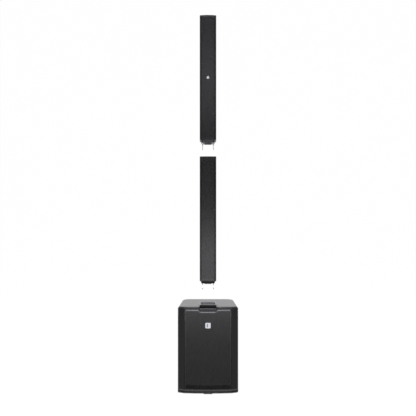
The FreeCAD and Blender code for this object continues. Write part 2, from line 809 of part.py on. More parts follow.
def make_jacks():
    face = D.panel_face
    z = D.jack_z

    def round_socket(name, x, height, ring):
        flange = pad(name + "_flange", "xz", face, face + 2.5,
                     rounded_rectangle(x - 13, x + 13, height - 15.5, height + 15.5, 3))
        barrel = rod(name + "_barrel", 12, (x, 141, height), face - 140, "y")
        return cut(name, fuse(name + "_solid", flange, barrel), *ring)

    combos = []
    for number, x in enumerate(COMBO_X):
        name = "combo_%d" % number
        groove = cut(name + "_groove", rod(name + "_ring", 9.6, (x, 158, z), 20, "y"),
                     rod(name + "_core", 6, (x, 157, z), 22, "y"))
        pins = [rod("%s_pin_hole_%d" % (name, n), 1.3, (x + dx, 150, z + dz), 9, "y")
                for n, (dx, dz) in enumerate(around(7.8, 3, 90))]
        bore = rod(name + "_bore", 3.2, (x, 152, z), 25, "y")
        combos.append(round_socket(name, x, z, [groove, bore, *pins]))
    hollow = rod("link_hollow", 9.6, (LINK_X, 155, D.link_z), 25, "y")
    link = round_socket("link", LINK_X, D.link_z, [hollow])
    pins = [rod("link_pin_%d" % n, 1.2, (LINK_X + dx, 154.5, D.link_z + dz), 12, "y")
            for n, (dx, dz) in enumerate(around(4.5, 3, 90))]
    node("xlr_jacks", group("xlr_jack_set", *combos, fuse("link_output", link, *pins)))

    def threaded_jack(name, x, bore, radius, half):
        bush = rod(name + "_bush", radius, (x, D.panel_inner - 1, z), face - D.panel_inner + 4, "y")
        case = box(name + "_case", (x - half, x + half), (148, D.panel_inner - 0.1), (z - half, z + half))
        nut = rod(name + "_nut", radius + 2.6, (x, face, z), 2, "y")
        solid = fuse(name + "_solid", bush, case, nut)
        return cut(name, solid, rod(name + "_bore", bore, (x, 152, z), 25, "y"))

    jacks = [threaded_jack("line_%d" % n, x, 3.2, 4.6, 8) for n, x in enumerate(LINE_X)]
    jacks.append(threaded_jack("mini", MINI_X, 1.8, 3, 5))
    for number, x in enumerate(PHONO_X):
        barrel = rod("phono_%d_barrel" % number, 4, (x, 150, D.link_z), 27, "y")
        collar = rod("phono_%d_collar" % number, 6.2, (x, face, D.link_z), 1.6, "y")
        bore = rod("phono_%d_bore" % number, 1.6, (x, 165, D.link_z), 20, "y")
        jacks.append(cut("phono_%d" % number, fuse("phono_%d_solid" % number, barrel, collar), bore))
    node("line_jacks", group("line_jack_set", *jacks))


def make_mains_inlet():
    face = D.panel_face
    z = D.mains_z
    flange = pad("inlet_flange", "xz", face, face + 3,
                 rounded_rectangle(INLET_X - 25, INLET_X + 25, z - 14, z + 14, 5))
    body = box("inlet_body", (INLET_X - 14, INLET_X + 14), (142, face + 1), (z - 10.5, z + 10.5))
    hollow = pad("inlet_hollow", "xz", 151, face + 5, [
        (INLET_X - 12, z - 8),
        (INLET_X + 12, z - 8),
        (INLET_X + 12, z + 3),
        (INLET_X + 7, z + 8),
        (INLET_X - 7, z + 8),
        (INLET_X - 12, z + 3),
    ])
    blade = box("inlet_blade", (INLET_X - 1, INLET_X + 1), (150, 166), (z - 2, z + 2))
    blades = copies("inlet_blade_copy", blade, ((-7, 0, -2), (7, 0, -2), (0, 0, 2)))
    shell = cut("inlet_open", fuse("inlet_solid", flange, body), hollow)
    node("mains_inlet", fuse("inlet_all", shell, *blades))


def make_power_switch():
    """A rocker that rests in its off position, tilted, in a snap-in frame."""
    face = D.panel_face
    z = D.mains_z
    frame = pad("switch_flange", "xz", face, face + 2,
                rounded_rectangle(SWITCH_X - 10.5, SWITCH_X + 10.5, z - 15.5, z + 15.5, 2))
    body = box("switch_body", (SWITCH_X - 8.5, SWITCH_X + 8.5), (148, face + 1), (z - 13.5, z + 13.5))
    space = box("switch_space", (SWITCH_X - 6.5, SWITCH_X + 6.5), (151, face + 5), (z - 12, z + 12))
    axle_holes = rod("switch_axle_hole", 1.55, (SWITCH_X - 8, 163, z), 16, "x")
    node("switch_frame", cut("switch_open", fuse("switch_solid", frame, body), space, axle_holes))
    paddle = pad("rocker_paddle", "yz", -6.1, 6.1, [
        (-6, -8),
        (6, -10, 60),
        (6, 10),
        (-6, 8),
    ])
    axle = rod("rocker_axle", 1.5, (-7.9, 0, 0), 15.8, "x")
    rocker = fuse("rocker", paddle, axle)
    tilt = FreeCAD.Rotation(FreeCAD.Vector(1, 0, 0), -12)
    node("power_rocker", place(rocker, SWITCH_X, 163, z, tilt))


def make_knobs():
    face = D.panel_face
    pots = []
    for number, x in enumerate(KNOB_X):
        case = rod("pot_case_%d" % number, 8, (x, 150, D.knob_z), D.panel_inner - 150.1, "y")
        bush = rod("pot_bush_%d" % number, 3.7, (x, D.panel_inner - 2, D.knob_z), 5.3, "y")
        shaft = rod("pot_shaft_%d" % number, D.shaft_radius, (x, D.panel_inner, D.knob_z), 15, "y")
        pots.append(fuse("pot_%d" % number, case, bush, shaft))
        name = KNOB_NAMES[number]
        skirt = taper(name + "_skirt", D.knob_radius, D.knob_radius - 0.4, (x, face + 0.6, D.knob_z), 4, "y")
        grip = taper(name + "_grip", D.knob_radius - 1.4, D.knob_radius - 2, (x, face + 3, D.knob_z), 13, "y")
        bore = rod(name + "_bore", D.shaft_radius + 0.05, (x, face, D.knob_z), 12.5, "y")
        top = (D.knob_z + 1, D.knob_z + 9)
        pointer = box(name + "_pointer", (x - 0.5, x + 0.5), (face + 15.4, face + 17), top)
        node(name, cut(name + "_whole", fuse(name + "_solid", skirt, grip), bore, pointer))
    node("level_pots", group("pot_set", *pots))


def make_indicators():
    face = D.panel_face
    leds = [rod("led_%d" % n, 1.5, (x, D.panel_inner - 2, D.knob_z + 22), 5.6, "y")
            for n, x in enumerate(KNOB_X)]
    node("status_leds", group("led_set", *leds))
    stem = rod("pairing_stem", 4, (BUTTON_X, D.panel_inner - 1, D.link_z), 6.4, "y")
    collar = rod("pairing_collar", 5.2, (BUTTON_X, D.panel_inner - 3, D.link_z), 2.7, "y")
    node("pairing_button", fuse("pairing_whole", stem, collar))


def make_boards():
    front, back = 135, 136.6
    amp = box("amp_sheet", (-102, 102), (front, back), (165, 295))
    cans = copies("amp_can", rod("amp_can_rod", 9, (0, front - 28, 0), 28, "y"),
                  [(x, 0, z) for x in (-70, -45) for z in (190, 220)])
    coils = copies("amp_coil", cut("amp_coil_ring", rod("amp_coil_outer", 13, (0, front - 12, 0), 12, "y"),
                                   rod("amp_coil_inner", 6, (0, front - 13, 0), 14, "y")),
                   [(x, 0, 200) for x in (10, 50)])
    chips = copies("amp_chip", box("amp_chip_block", (-7, 7), (front - 3, front), (-7, 7)),
                   [(x, 0, 265) for x in (-60, -10, 40, 75)])
    node("amp_board", group("amp_board_set", amp, *cans, *coils, *chips))
    supply = box("supply_sheet", (-102, 102), (front, back), (74, 155))
    reservoirs = copies("supply_can", rod("supply_can_rod", 12, (0, front - 40, 0), 40, "y"),
                        [(x, 0, 115) for x in (-80, -50)])
    filter_block = box("supply_filter", (60, 92), (front - 22, front), (90, 120))
    node("power_supply_board", group("supply_board_set", supply, *reservoirs, filter_block))
    core = box("transformer_core", (-20, 34), (front - 34, front), (92, 138))
    winding = box("transformer_winding", (-12, 26), (front - 40, front - 34), (98, 132))
    node("transformer", fuse("transformer_all", core, winding))


# ---------------------------------------------------------------- column modules

def column_outline(front_bow):
    """Plan of a column; with front_bow it follows the grille's curve across the front."""
    half = D.column_half_width
    front = -D.column_shoulder
    across = [(5 - half, front, 190), (half - 5, front, 5)] if front_bow else [
        (5 - half, front), (half - 5, front, 5)]
    return [
        (-half, front + 5, 5),
        *across,
        (half, front + 5),
        (half, D.column_back - 10, 10),
        (half - 10, D.column_back),
        (10 - half, D.column_back, 10),
        (-half, D.column_back - 10),
    ]


def make_column_foot(prefix, foot):
    axis = -D.column_axis
    shoulder = foot + D.plug_height
    plug = pad(prefix + "foot_plug", "xy", foot, shoulder, rounded_rectangle(
        -D.plug_half_width, D.plug_half_width, axis - D.plug_half_depth, axis + D.plug_half_depth,
        D.plug_corner), draft=D.plug_taper)
    round_edges(plug, 3, lambda e: is_level_at(e, foot))
    plate = pad(prefix + "foot_plate", "xy", shoulder, shoulder + D.foot_shoulder, column_outline(True))
    pin_holes = [rod("%spin_hole_%d" % (prefix, n), D.pin_radius, (x, axis, foot - 1), 15)
                 for n, x in enumerate((-D.pin_x, D.pin_x), start=1)]
    solid = fuse(prefix + "foot_solid", plug, plate)
    column_node(prefix + "foot", cut(prefix + "foot_cut", solid, *pin_holes))
    pins = []
    for number, x in enumerate((-D.pin_x, D.pin_x), start=1):
        name = "%spin_%d" % (prefix, number)
        shank = rod(name + "_shank", D.pin_radius, (x, axis, foot - D.pin_length + 2), D.pin_length + 11)
        tip = taper(name + "_tip", D.pin_radius - 1.2, D.pin_radius, (x, axis, foot - D.pin_length), 2)
        pins.append(fuse(name, shank, tip))
    column_node(prefix + "guide_pins", group(prefix + "pin_pair", *pins))


def make_contact_plug(prefix, foot):
    axis = -D.column_axis
    block = pad(prefix + "plug_block", "xy", foot - D.contact_drop, foot - 0.05,
                stadium(0, axis, D.contact_half, D.contact_width))
    holes = copies(prefix + "plug_hole", rod(prefix + "plug_hole_rod", 1.5,
                                             (0, axis, foot - D.contact_drop - 1), 6),
                   [(x, y, 0) for x in (-12, -4, 4, 12) for y in (-2.5, 2.5)])
    return cut(prefix + "plug", block, *holes)


def make_column_shell(prefix, low, high):
    """Extruded housing, open along the front; bowed grille sheet between its two lips."""
    half = D.column_half_width
    inner = half - D.column_wall
    front = 1 - D.column_shoulder
    slot = D.column_slot
    channel = [
        (slot, front),
        (half - 5, front, 5),
        (half, front + 5),
        (half, D.column_back - 10, 10),
        (half - 10, D.column_back),
        (10 - half, D.column_back, 10),
        (-half, D.column_back - 10),
        (-half, front + 5, 5),
        (5 - half, front),
        (-slot, front),
        (-slot, -52),
        (-inner, -52),
        (-inner, D.column_back - D.column_wall),
        (inner, D.column_back - D.column_wall),
        (inner, -52),
        (slot, -52),
    ]
    column_node(prefix + "housing", pad(prefix + "channel", "xy", low, high, channel))
    edge = slot - D.fit_gap
    front = -D.column_shoulder
    column_node(prefix + "grille", pad(prefix + "grille_sheet", "xy", low + 0.3, high - 0.3, [
        (-edge, -52.4),
        (-edge, front, 180),
        (edge, front),
        (edge, -52.4),
        (edge - 1.5, -52.4),
        (edge - 1.5, front + 1.1, -178.5),
        (1.5 - edge, front + 1.1),
        (1.5 - edge, -52.4),
    ]))


def make_column_drivers(prefix, low, high, heights):
    holes = [(0, z, 35.6) for z in heights]
    half = D.column_half_width - D.column_wall - D.fit_gap
    loops = [[(-half, low + 0.3), (half, low + 0.3), (half, high - 0.3), (-half, high - 0.3)], *holes]
    if prefix == "upper_":
        middle = (low + high) / 2
        loops.append([(-28, middle - 34), (28, middle - 34), (28, middle + 34), (-28, middle + 34)])
    column_node(prefix + "baffle", pad(prefix + "baffle_board", "xz", -50, -42, *loops))
    frames = []
    cones = []
    for number, z in enumerate(heights, start=1):
        frames.append(revolve("%sdriver_%d" % (prefix, number), 0, z, [
            (0, -24), (8, -24), (8, -33), (20, -33), (34, -51), (34, -53), (D.driver_flange, -53),
            (D.driver_flange, -50), (35.2, -50), (24, -33), (24, -31), (30, -31), (30, -13), (0, -13),
        ]))
        cones.append(revolve("%scone_%d" % (prefix, number), 0, z, [
            (0, -45.5), (10, -43), (31.5, -52.2), (31.5, -51), (10, -41.6), (6.5, -41.6), (6.5, -28),
            (5.6, -28), (5.6, -41.6), (0, -44),
        ]))
    column_node(prefix + "drivers", group(prefix + "driver_set", *frames))
    column_node(prefix + "cones", group(prefix + "cone_set", *cones))


def make_lower_column():
    foot = D.lower_foot
    top = foot + D.column_length
    cap_low = top - D.socket_depth - D.socket_floor
    low = foot + D.plug_height + D.foot_shoulder
    make_column_foot("lower_", foot)
    make_column_shell("lower_", low, cap_low)
    middle = (low + cap_low) / 2
    heights = [middle + D.driver_pitch * (n - 2.5) for n in range(6)]
    make_column_drivers("lower_", low, cap_low, heights)
    block = pad("lower_cap_block", "xy", cap_low, top, column_outline(True))
    whole = fuse("lower_cap_whole", block, *pin_sleeves("lower_cap", top))
    column_node("lower_top_cap", cut("lower_cap_open", whole, foot_recess("lower_cap_recess", top)))
    column_node("lower_contacts", group("lower_contact_set", make_contact_plug("lower_", foot),
                                 contact_block("lower_contact_block", top)))


def make_upper_column():
    foot = D.upper_foot
    top = foot + D.column_length
    cap_low = top - D.cap_height
    low = foot + D.plug_height + D.foot_shoulder
    make_column_foot("upper_", foot)
    make_column_shell("upper_", low, cap_low)
    middle = (low + cap_low) / 2
    heights = [middle + D.driver_pitch * step for step in (-2.6, -1.6, 1.6, 2.6)]
    make_column_drivers("upper_", low, cap_low, heights)
    cap = pad("upper_cap", "xy", cap_low, top, column_outline(True))
    round_edges(cap, 3, lambda e: is_level_at(e, top))
    column_node("upper_top_cap", cap)
    column_node("upper_contacts", make_contact_plug("upper_", foot))
    make_horn(middle)
    column_node("upper_badge", rod("upper_badge_disc", 9, (0, -D.column_bow - 1.4, middle), 1.3, "y"))


def make_horn(z):
    """Waveguide plate with a flared mouth and a compression driver behind it."""
    plate = pad("horn_plate", "xz", -53, -50, rounded_rectangle(-39, 39, z - 50, z + 50, 4))
    throat = box("horn_throat", (-27, 27), (-50, -30), (z - 33, z + 33))
    mouth = taper("horn_mouth", 26, 9, (0, -54, z), 26, "y")
    back = rod("horn_motor", 24, (0, -30, z), 18, "y")
    column_node("upper_horn", cut("horn_all", fuse("horn_solid", plate, throat, back), mouth))


# ---------------------------------------------------------------- build, check, write

def build():
    make_cabinet()
    make_handle_moulding()
    make_grille()
    make_grille_foam()
    make_trim_and_feet()
    make_badge()
    make_baffle()
    make_ports()
    make_woofer()
    make_column_socket()
    make_rear_panel()
    make_heatsink()
    make_jacks()
    make_mains_inlet()
    make_power_switch()
    make_knobs()
    make_indicators()
    make_boards()
    make_lower_column()
    make_upper_column()
    doc.recompute()


def check():
    for feature in doc.Objects:
        if "Invalid" in feature.State or "Error" in feature.State:
            raise RuntimeError("failed feature: %s %s" % (feature.Name, feature.State))
        if feature.TypeId == "Sketcher::SketchObject" and not feature.FullyConstrained:
            raise RuntimeError("sketch is not fully constrained: %s" % feature.Name)
    for feature in nodes:
        shape = feature.Shape
        if shape.isNull() or not shape.isValid() or not shape.Solids:
            raise RuntimeError("bad shape: %s" % feature.Label)


def write():
    os.makedirs("parts", exist_ok=True)
    for feature in nodes:
        feature.Shape.exportStep("parts/%s.step" % feature.Label)
        solids, volume = len(feature.Shape.Solids), feature.Shape.Volume
        print("%-22s %2d solids %12.0f mm3" % (feature.Label, solids, volume))
    print(len(nodes), "nodes")


build()
check()
write()
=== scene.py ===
import json
from bisect import bisect
from math import cos, hypot, pi, radians, sin, sqrt, tan

import bmesh
import bpy
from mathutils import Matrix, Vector


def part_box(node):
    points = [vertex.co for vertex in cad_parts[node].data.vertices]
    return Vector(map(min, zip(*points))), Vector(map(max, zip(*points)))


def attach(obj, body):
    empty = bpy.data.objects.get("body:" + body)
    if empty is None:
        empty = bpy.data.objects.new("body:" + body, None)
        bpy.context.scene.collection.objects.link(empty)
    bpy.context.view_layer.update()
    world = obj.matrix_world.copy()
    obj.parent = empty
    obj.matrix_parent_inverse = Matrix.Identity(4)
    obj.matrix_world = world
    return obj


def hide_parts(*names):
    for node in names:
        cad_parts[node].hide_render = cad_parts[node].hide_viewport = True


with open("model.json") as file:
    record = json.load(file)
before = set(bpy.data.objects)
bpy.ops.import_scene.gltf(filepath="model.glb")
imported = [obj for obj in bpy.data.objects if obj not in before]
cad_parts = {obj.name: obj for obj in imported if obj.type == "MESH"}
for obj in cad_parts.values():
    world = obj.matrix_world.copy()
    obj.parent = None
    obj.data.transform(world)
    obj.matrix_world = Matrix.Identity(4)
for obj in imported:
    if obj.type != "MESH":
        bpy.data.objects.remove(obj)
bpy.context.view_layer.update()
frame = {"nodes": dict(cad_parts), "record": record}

MM = 0.001
WELD = 2e-6  # metres within which two of the CAD's vertices are one
slot_of = {part["node"]: part["material_slot"] for part in frame["record"]["subparts"]}
body_of_node = {node: body for body, nodes in frame["record"]["behaviour"]["bodies"].items()
                for node in nodes}


# ------ materials

class Surface:
    """A procedural material: one Principled shader fed by noise in the object's own coordinates."""

    def __init__(self, name, color, roughness, **sockets):
        self.name = name
        self.material = bpy.data.materials.new(name)
        self.material.use_nodes = True
        self.tree = self.material.node_tree
        self.shader = self.tree.nodes["Principled BSDF"]
        self.color = color
        self.shader.inputs["Base Color"].default_value = (*color, 1)
        self.shader.inputs["Roughness"].default_value = roughness
        for socket, value in sockets.items():
            self.shader.inputs[socket.replace("_", " ")].default_value = value
        self.coordinates = self.node("TexCoord").outputs["Object"]

    def node(self, kind, inputs={}, **settings):
        made = self.tree.nodes.new("ShaderNode" + kind)
        for name, value in settings.items():
            setattr(made, name, value)
        for socket, value in inputs.items():
            made.inputs[socket].default_value = value
        return made

    def link(self, source, target):
        self.tree.links.new(source, target)

    def texture(self, kind, inputs, output="Fac", source=None, **settings):
        """A node fed with the object's own coordinates, or with another source."""
        texture = self.node(kind, inputs, **settings)
        self.link(source or self.coordinates, texture.inputs["Vector"])
        return texture.outputs[output]

    def noise(self, scale, detail=3.0, stretch=(1, 1, 1)):
        stretched = self.texture("Mapping", {"Scale": stretch}, "Vector")
        return self.texture("TexNoise", {"Scale": scale, "Detail": detail}, source=stretched)

    def spread(self, source, low, high):
        """The source's middle values, 0.3 to 0.7, spread over low to high."""
        spread = self.node("MapRange", {"From Min": 0.3, "From Max": 0.7, "To Min": low, "To Max": high})
        self.link(source, spread.inputs["Value"])
        return spread.outputs["Result"]

    def vary_color(self, source, other):
        """Mix the base colour with another where the source is high."""
        mix = self.node("Mix", data_type="RGBA")
        self.link(self.spread(source, 0, 1), mix.inputs["Factor"])
        mix.inputs["A"].default_value = (*self.color, 1)
        mix.inputs["B"].default_value = (*other, 1)
        self.link(mix.outputs["Result"], self.shader.inputs["Base Color"])

    def vary_roughness(self, source, low, high):
        self.link(self.spread(source, low, high), self.shader.inputs["Roughness"])

    def bump(self, source, height_mm):
        bump = self.node("Bump", {"Strength": 1, "Distance": height_mm * MM})
        self.link(source, bump.inputs["Height"])
        self.link(bump.outputs["Normal"], self.shader.inputs["Normal"])
        return self


def painted(name, color, low, high, grain, grain_mm, sockets={}):
    """A coated, moulded or rubber surface: a faint tone, uneven gloss and a fine grain."""
    surface = Surface(name, color, low, **sockets)
    surface.vary_color(surface.noise(45, 4), tuple(c * 1.25 for c in color))
    surface.vary_roughness(surface.noise(160, 3), low, high)
    return surface.bump(surface.noise(grain, 2), grain_mm)


def metal(name, color, low, high, stretch, metallic=1.0):
    """Brushed or turned metal; its grain is finest along the axis that is stretched most."""
    surface = Surface(name, color, low, Metallic=metallic)
    streaks = surface.noise(900, 4, stretch)
    surface.vary_color(streaks, tuple(c * 0.8 for c in color))
    surface.vary_roughness(streaks, low, high)
    return surface.bump(streaks, 0.01)


def paper_material():
    surface = Surface("cone_paper", (0.03, 0.03, 0.031), 0.7)
    fibres = surface.noise(1400, 6, (1, 1, 3))
    surface.vary_color(fibres, (0.055, 0.053, 0.05))
    return surface.bump(fibres, 0.2)


def cloth_material():
    """Plain weave from two crossed sets of waves."""
    surface = Surface("spider_cloth", (0.42, 0.27, 0.1), 0.85, Sheen_Weight=0.2)
    weave = surface.node("Math", operation="MAXIMUM")
    for direction, socket in zip("XZ", weave.inputs):
        threads = surface.texture("TexWave", {"Scale": 60, "Distortion": 0.6}, bands_direction=direction)
        surface.link(threads, socket)
    height = weave.outputs["Value"]
    surface.vary_color(height, (0.231, 0.1485, 0.055))
    return surface.bump(height, 0.15)


def foam_material():
    surface = Surface("acoustic_foam", (0.006, 0.006, 0.006), 0.95)
    pores = surface.texture("TexVoronoi", {"Scale": 900}, "Distance")
    surface.vary_color(pores, (0.014, 0.014, 0.014))
    return surface.bump(pores, 0.5)


def winding_material():
    """Enamelled wire wound round a former: fine rings along Y."""
    surface = Surface("coil_former", (0.5, 0.2, 0.07), 0.25, Metallic=0.9)
    rings = surface.texture("TexWave", {"Scale": 130}, bands_direction="Y")
    surface.vary_color(rings, (0.25, 0.08, 0.03))
    return surface.bump(rings, 0.1)


def lens_material():
    surface = Surface("indicator_lens", (0.25, 0.6, 0.32), 0.12, Transmission_Weight=0.5, IOR=1.49)
    surface.vary_color(surface.noise(700), (0.2, 0.5, 0.28))
    return surface.bump(surface.noise(300), 0.02)


def board_material():
    """Solder mask over copper tracks."""
    surface = Surface("circuit_board", (0.01, 0.09, 0.045), 0.25)
    facing = surface.texture("Mapping", {"Rotation": (pi / 2, 0, 0)}, "Vector")
    tracks = surface.texture("TexBrick", {"Scale": 90, "Mortar Size": 0.03}, source=facing)
    surface.vary_color(tracks, (0.03, 0.16, 0.07))
    return surface.bump(tracks, 0.03)


DULL = dict(Specular_IOR_Level=0.1)
SATIN = dict(Specular_IOR_Level=0.2)
GLOSSY = dict(Specular_IOR_Level=0.3)
COATED = dict(Coat_Weight=0.6, Coat_Roughness=0.35)

# colour, lowest and highest roughness, scale and height in mm of the grain, other sockets
PAINTS = {
    "cabinet_paint": ((0.004, 0.004, 0.0043), 0.2, 0.25, 1300, 0.03, SATIN),
    "baffle_board": ((0.005, 0.005, 0.005), 0.6, 0.75, 700, 0.1, DULL),
    # black trim plastic in a lighter colour than the black moulding: painted sheen; its higher gloss is real
    "trim_plastic": ((0.011, 0.011, 0.0114), 0.35, 0.42, 1500, 0.03),
    "black_moulding": ((0.004, 0.004, 0.0046), 0.28, 0.34, 1500, 0.03, DULL),
    # the column socket's black plastic in a lighter colour, so its top reads grey: painted sheen; its coat is
    # real gloss
    "socket_plastic": ((0.03, 0.031, 0.036), 0.32, 0.38, 1500, 0.03, COATED),
    "grille_steel": ((0.002, 0.002, 0.0024), 0.24, 0.28, 2200, 0.01, SATIN),
    # the rim's finish is the grille steel in a lighter colour, a painted highlight along the rolled edge; its
    # higher gloss is real
    "grille_rim_painted_highlight": ((0.005, 0.005, 0.0058), 0.24, 0.28, 2200, 0.01, GLOSSY),
    "foot_rubber": ((0.012, 0.012, 0.012), 0.7, 0.85, 900, 0.08),
    "driver_frame": ((0.015, 0.015, 0.015), 0.35, 0.5, 1200, 0.05),
    "magnet_ferrite": ((0.05, 0.05, 0.055), 0.45, 0.65, 700, 0.08),
    "surround_rubber": ((0.015, 0.015, 0.015), 0.55, 0.7, 800, 0.05),
    "connector_plastic": ((0.014, 0.014, 0.015), 0.3, 0.4, 1800, 0.03),
    "panel_metal": ((0.013, 0.013, 0.014), 0.4, 0.5, 1500, 0.06),
    "transformer_core": ((0.08, 0.08, 0.085), 0.3, 0.5, 600, 0.05),
    "rocker_plastic": ((0.012, 0.012, 0.012), 0.12, 0.2, 300, 0.02),
    "knob_plastic": ((0.016, 0.016, 0.017), 0.4, 0.5, 2200, 0.03),
    "button_plastic": ((0.4, 0.4, 0.43), 0.3, 0.4, 900, 0.02),
    "column_housing": ((0.003, 0.003, 0.0036), 0.28, 0.34, 1500, 0.03, DULL),
    "printed_white": ((0.6, 0.6, 0.6), 0.5, 0.6, 800, 0.01),
    "capacitor_sleeve": ((0.02, 0.025, 0.06), 0.25, 0.35, 300, 0.02),
}
# colour, lowest and highest roughness, stretch of the grain, metallic
METALS = {
    "badge_metal": ((0.25, 0.25, 0.265), 0.45, 0.55, (1, 1, 40), 0.25),
    # the badge metal made darker for the upper badge: painted shade, not another finish
    "badge_metal_painted_shade": ((0.13, 0.13, 0.135), 0.5, 0.6, (1, 1, 40), 0.25),
    "plain_steel": ((0.5, 0.5, 0.52), 0.25, 0.4, (1, 30, 1)),
    "black_screws": ((0.06, 0.06, 0.065), 0.35, 0.5, (1, 1, 1)),
    "contact_brass": ((0.83, 0.64, 0.28), 0.15, 0.3, (1, 1, 20)),
    "heatsink_metal": ((0.04, 0.04, 0.045), 0.35, 0.5, (40, 40, 1)),
    "pot_metal": ((0.5, 0.5, 0.51), 0.3, 0.45, (1, 20, 1)),
    "guide_pin_steel": ((0.4, 0.4, 0.42), 0.22, 0.36, (1, 1, 40)),
}


def make_materials():
    """One finish for each of the record's material slots, and a few more for details."""
    surfaces = [painted(name, *row) for name, row in PAINTS.items()]
    surfaces += [metal(name, *row) for name, row in METALS.items()]
    surfaces += [paper_material(), cloth_material(), foam_material(), winding_material(),
                 lens_material(), board_material()]
    return {surface.name: surface.material for surface in surfaces}


MATERIALS = make_materials()
# nodes finished otherwise than their slot says, in lighter copies of black plastic whose lighter colour is
# painted sheen
FINISH_OF = {"column_socket": "socket_plastic", "base_trim": "trim_plastic"}


# ------ mesh helpers

def new_piece(name, mesh, material, nodes, smooth_angle=35, body=None):
    """Wrap a mesh as a visible piece that stands for CAD nodes and rides on their body."""
    piece = bpy.data.objects.new(name, mesh)
    bpy.context.scene.collection.objects.link(piece)
    mesh.materials.clear()
    mesh.materials.append(MATERIALS[material])
    mesh.shade_smooth()
    mesh.set_sharp_from_angle(angle=radians(smooth_angle))
    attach(piece, body or body_of_node[nodes[0]])
    if nodes:
        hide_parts(*nodes)
    return piece


def mesh_from(name, vertices, faces):
    mesh = bpy.data.meshes.new(name)
    mesh.from_pydata([Vector(v) * MM for v in vertices], [], faces)
    build = bmesh.new()
    build.from_mesh(mesh)
    bmesh.ops.remove_doubles(build, verts=build.verts, dist=1e-7)
    bmesh.ops.dissolve_degenerate(build, edges=build.edges, dist=1e-8)
    bmesh.ops.recalc_face_normals(build, faces=build.faces)
    build.to_mesh(mesh)
    build.free()
    return mesh


def bevel(piece, width_mm):
    """Round the edges where faces meet at more than 30 degrees."""
    modifier = piece.modifiers.new("edges", "BEVEL")
    modifier.width = width_mm * MM
    modifier.segments = 2
    modifier.limit_method = "ANGLE"
    modifier.angle_limit = radians(30)
    piece.modifiers.new("normals", "WEIGHTED_NORMAL").keep_sharp = True
    return piece


def softened(node, width_mm):
    """The CAD node's own shape with rounded edges, standing for the node."""
    mesh = frame["nodes"][node].data.copy()
    build = bmesh.new()
    build.from_mesh(mesh)
    bmesh.ops.remove_doubles(build, verts=build.verts, dist=WELD)
    bmesh.ops.join_triangles(build, faces=build.faces, angle_face_threshold=radians(0.5),
                             angle_shape_threshold=pi)
    build.to_mesh(mesh)
    build.free()
    return bevel(new_piece(node + "_piece", mesh, FINISH_OF.get(node, slot_of[node]), [node]), width_mm)


def draw_in(piece, front, reach, amount, above):
    """Set a moulding's front edge back: by the whole amount at the front, fading out over the reach."""
    for vertex in piece.data.vertices:
        if vertex.co.z / MM > above:
            share = min(1.0, max(0.0, (front + reach - vertex.co.y / MM) / reach))
            vertex.co.y += amount * MM * share * share * (3 - 2 * share)


def mm_box(node):
    low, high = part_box(node)
    return low / MM, high / MM


def solids_of(node):
    """The boxes (low, high) of a CAD node's separate solids, in millimetres."""
    build = bmesh.new()
    build.from_mesh(frame["nodes"][node].data)
    bmesh.ops.remove_doubles(build, verts=build.verts, dist=WELD)
    boxes, seen = [], set()
    for first in build.verts:
        waiting, spots = [first], []
        while waiting:
            vertex = waiting.pop()
            if vertex not in seen:
                seen.add(vertex)
                spots.append(vertex.co / MM)
                waiting += [edge.other_vert(vertex) for edge in vertex.link_edges]
        if spots:
            boxes.append([Vector([pick(p[i] for p in spots) for i in range(3)]) for pick in (min, max)])
    build.free()
    return boxes


class Shapes:
    """Collects simple closed shapes, in millimetres, into one mesh."""

    def __init__(self):
        self.vertices, self.faces = [], []

    def loft(self, loops, closed=False):
        """Join loops of equally many points; the ends are capped, or joined when closed."""
        start, count = len(self.vertices), len(loops[0])
        self.vertices += [tuple(p) for loop in loops for p in loop]
        last = len(loops) if closed else len(loops) - 1
        for n in range(last):
            near, far = start + n * count, start + (n + 1) % len(loops) * count
            for i in range(count):
                j = (i + 1) % count
                self.faces.append([near + i, near + j, far + j, far + i])
        if not closed:
            self.faces.append([start + i for i in reversed(range(count))])
            self.faces.append([start + last * count + i for i in range(count)])
        return self

    def turn(self, profile, centre, axis="Y", steps=48, ripple=None):
        """Turn (radius, along) points about an axis; both ends lie on it, or the points are a ring."""
        start, count = len(self.vertices), len(profile)
        on_axis = profile[0][0] == 0 and profile[-1][0] == 0
        for step in range(steps):
            angle = 2 * pi * step / steps
            near, far = start + step * count, start + (step + 1) % steps * count
            for i, (radius, along) in enumerate(profile):
                reach = ripple(angle, radius, along) if ripple else radius
                across, up = reach * cos(angle), reach * sin(angle)
                x, y, z = (across, along, up) if axis == "Y" else (across, up, along)
                self.vertices.append((centre[0] + x, centre[1] + y, centre[2] + z))
                if i < count - 1 or not on_axis:
                    j = (i + 1) % count
                    self.faces.append([near + i, near + j, far + j, far + i])
        return self

    def block(self, low, high):
        """A block between two corners."""
        outline = [(low[0], low[2]), (high[0], low[2]), (high[0], high[2]), (low[0], high[2])]
        return self.prism(outline, low[1], high[1])

    def prism(self, outline, low, high):
        """An outline of (x, z) points carried from low to high along Y."""
        return self.loft([[(x, y, z) for x, z in outline] for y in (low, high)])

    def piece(self, name, material, *nodes, smooth_angle=35, edge=0, body=None):
        mesh = mesh_from(name, self.vertices, self.faces)
        piece = new_piece(name, mesh, material, nodes, smooth_angle, body)
        return bevel(piece, edge) if edge else piece


def turned(profile, centre, steps, name, material, *nodes, body=None):
    """A piece turned about a line along Y; only the centre's x and z matter."""
    Shapes().turn(profile, (centre[0], 0, centre[2]), steps=steps).piece(name, material, *nodes, body=body)


